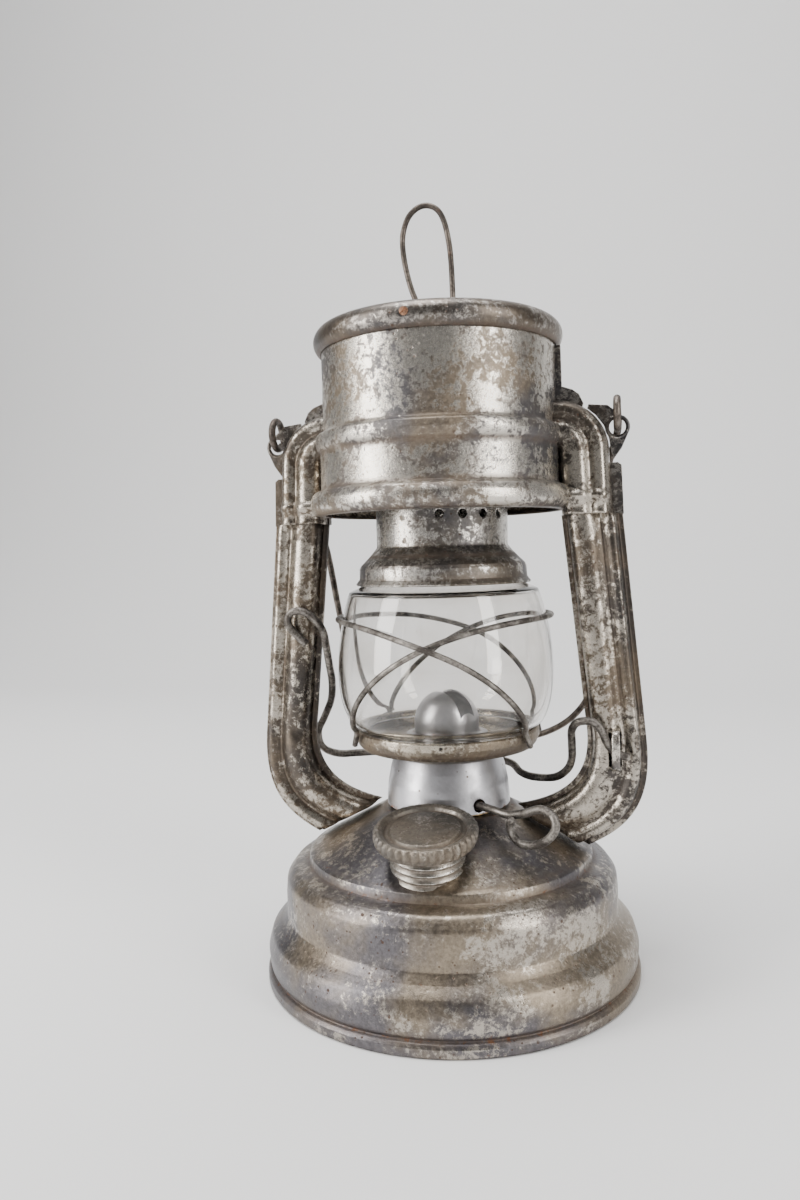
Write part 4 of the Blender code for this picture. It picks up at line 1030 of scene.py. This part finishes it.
def lever():
    points = [(-41.0, -7.4, 96.6), (-44.2, -8.0, 99.8), (-46.3, -8.2, 103.2), (-45.0, -8.3, 106.0),
              (-41.8, -8.2, 106.4), (-38.4, -7.8, 104.4), (-35.9, -6.6, 100.6), (-35.5, -5.0, 96.0),
              (-35.4, -2.8, 89.7), (-36.0, 1.0, 84.0), (-38.0, 5.4, 77.7), (-41.6, 8.6, 71.4),
              (-44.0, 9.4, 66.6), (-43.0, 10.0, 61.6), (-38.5, 11.6, 59.2), (-32.0, 14.6, 58.9),
              (-21.7, 19.0, 58.8), (-8.0, 20.4, 58.6), (6.0, 20.2, 58.0), (16.1, 18.0, 56.4),
              (19.7, 14.6, 54.4), (24.0, 11.0, 53.9), (30.8, 6.0, 55.2), (34.8, 2.2, 58.4),
              (36.5, 0.0, 62.2), (36.8, -2.6, 67.6), (37.0, -5.2, 71.6), (38.6, -7.4, 74.2),
              (41.4, -8.7, 75.0), (43.9, -9.2, 74.4), (45.6, -9.2, 72.0), (46.7, -8.1, 69.0),
              (48.2, -7.3, 66.8), (50.2, -7.0, 65.4), (52.4, -6.7, 64.7)]
    route = smooth_route(metres(points), 0.7 * MM)
    finished(wire("lever_rod", route, 1.15 * MM), "lever", ["lift_lever"], WIRE)


def bail():
    side = []
    for index in range(40):
        angle = math.radians(290 - 290 * index / 39)
        side.append(Vector((50.8, 4.2 * math.cos(angle), 4.2 * math.sin(angle))))
    leg = smooth_route([side[-1], (50.8, 4.2, -6.0), (48.6, 3.4, -14.0), (45.0, 1.4, -26.0),
                        (42.3, 0.0, -40.0), (42.3, 0.0, -60.0), (42.3, 0.0, -78.0)], 1.0)
    bow = []
    steps = 90
    for index in range(1, steps):
        angle = math.pi * index / steps
        across = math.copysign(abs(math.cos(angle)) ** 0.8, math.cos(angle))
        bow.append(Vector((42.3 * across, 0.0, -78.0 - 39.5 * math.sin(angle) ** 0.8)))
    right = side + leg[1:]
    left = [Vector((-point.x, point.y, point.z)) for point in reversed(right)]
    lean = Matrix.Rotation(math.radians(27.2), 4, "X")
    lift = joint_place("bail_swing") / MM
    route = [(lean @ point + lift) * MM for point in right + bow + left]
    finished(wire("bail_bow", route, 1.06 * MM), "bail", ["bail"], RUSTY_WIRE)


cone()
winder()
lever()
bail()


# ---------------------------------------------------------------- the CAD nodes that stay

KEPT = {"fount_bottom": TIN, "burner_base": BRASS, "wick_tube": BRASS, "feed_wheel": BRASS,
        "hood_floor": DARK_TIN, "hood_bridge": DARK_TIN, "hood_screw": GLINT_COPPER, "wick": COTTON,
        "filler_seal": RUBBER}
for node, finish in KEPT.items():
    piece = frame["nodes"][node]
    piece.data.materials.clear()
    piece.data.materials.append(finish)


# ---------------------------------------------------------------- stage, light and camera

def plain(name, colour, rough):
    s = Shader(name, Roughness=rough, Metallic=0.0)
    cloud = s.noise(6.0, 3.0, 0.5)
    return s.surface(Base_Color=s.mix(cloud, colour, tuple(0.985 * value for value in colour)))


def sweep():
    """Floor that curves up behind the lamp into a backdrop."""
    line = [(-1.5, 0.0)]
    line += [(y, 0.0) for y in np.linspace(-1.2, 0.5, 18)]
    for index in range(1, 25):
        angle = math.radians(90 * index / 24)
        line.append((0.5 + 0.45 * math.sin(angle), 0.45 - 0.45 * math.cos(angle)))
    line += [(0.95, z) for z in np.linspace(0.6, 2.2, 10)]
    points = np.array([[(x, y, z) for x in np.linspace(-2.2, 2.2, 12)] for y, z in line])
    floor = grid_object("studio_sweep", points, False)
    floor.data.materials.append(plain("studio_paper", (0.80, 0.80, 0.80), 0.85))


def soft_light(name, place, target, width, height, watts, colour=(1.0, 1.0, 1.0)):
    data = bpy.data.lights.new(name, "AREA")
    data.shape = "RECTANGLE"
    data.size = width
    data.size_y = height
    data.energy = watts
    data.color = colour
    lamp = linked(name, data)
    lamp.location = place
    lamp.rotation_euler = (Vector(target) - Vector(place)).to_track_quat("-Z", "Y").to_euler()


def camera():
    data = bpy.data.cameras.new("photo_view")
    data.sensor_width = 36.0
    data.sensor_height = 36.0
    data.sensor_fit = "AUTO"
    data.lens = 27.02
    data.clip_start = 0.01
    made = linked("photo_view", data)
    made.matrix_world = Matrix(((0.967818, 0.014673, 0.251223, 0.054508),
                                (0.250050, 0.056376, -0.966590, -0.261075),
                                (-0.028345, 0.998302, 0.050893, 0.122645),
                                (0.0, 0.0, 0.0, 1.0)))
    bpy.context.scene.camera = made


sweep()
soft_light("left_box", (-0.75, -0.50, 0.42), (0, 0, 0.12), 0.35, 0.9, 12.0, (1.0, 0.975, 0.94))
soft_light("right_box", (0.80, -0.42, 0.40), (0, 0, 0.12), 0.25, 0.8, 6.5, (1.0, 0.975, 0.94))
soft_light("overhead", (-0.12, -0.10, 1.0), (0, 0, 0.1), 0.5, 0.4, 8.0)
soft_light("backdrop", (0.0, 0.15, 1.7), (0, 0.9, 0.5), 1.6, 0.4, 16.0)
world = bpy.data.worlds.new("studio")
world.use_nodes = True
world.node_tree.nodes["Background"].inputs["Color"].default_value = (0.97, 0.97, 1.0, 1.0)
world.node_tree.nodes["Background"].inputs["Strength"].default_value = 0.16
bpy.context.scene.world = world
camera()
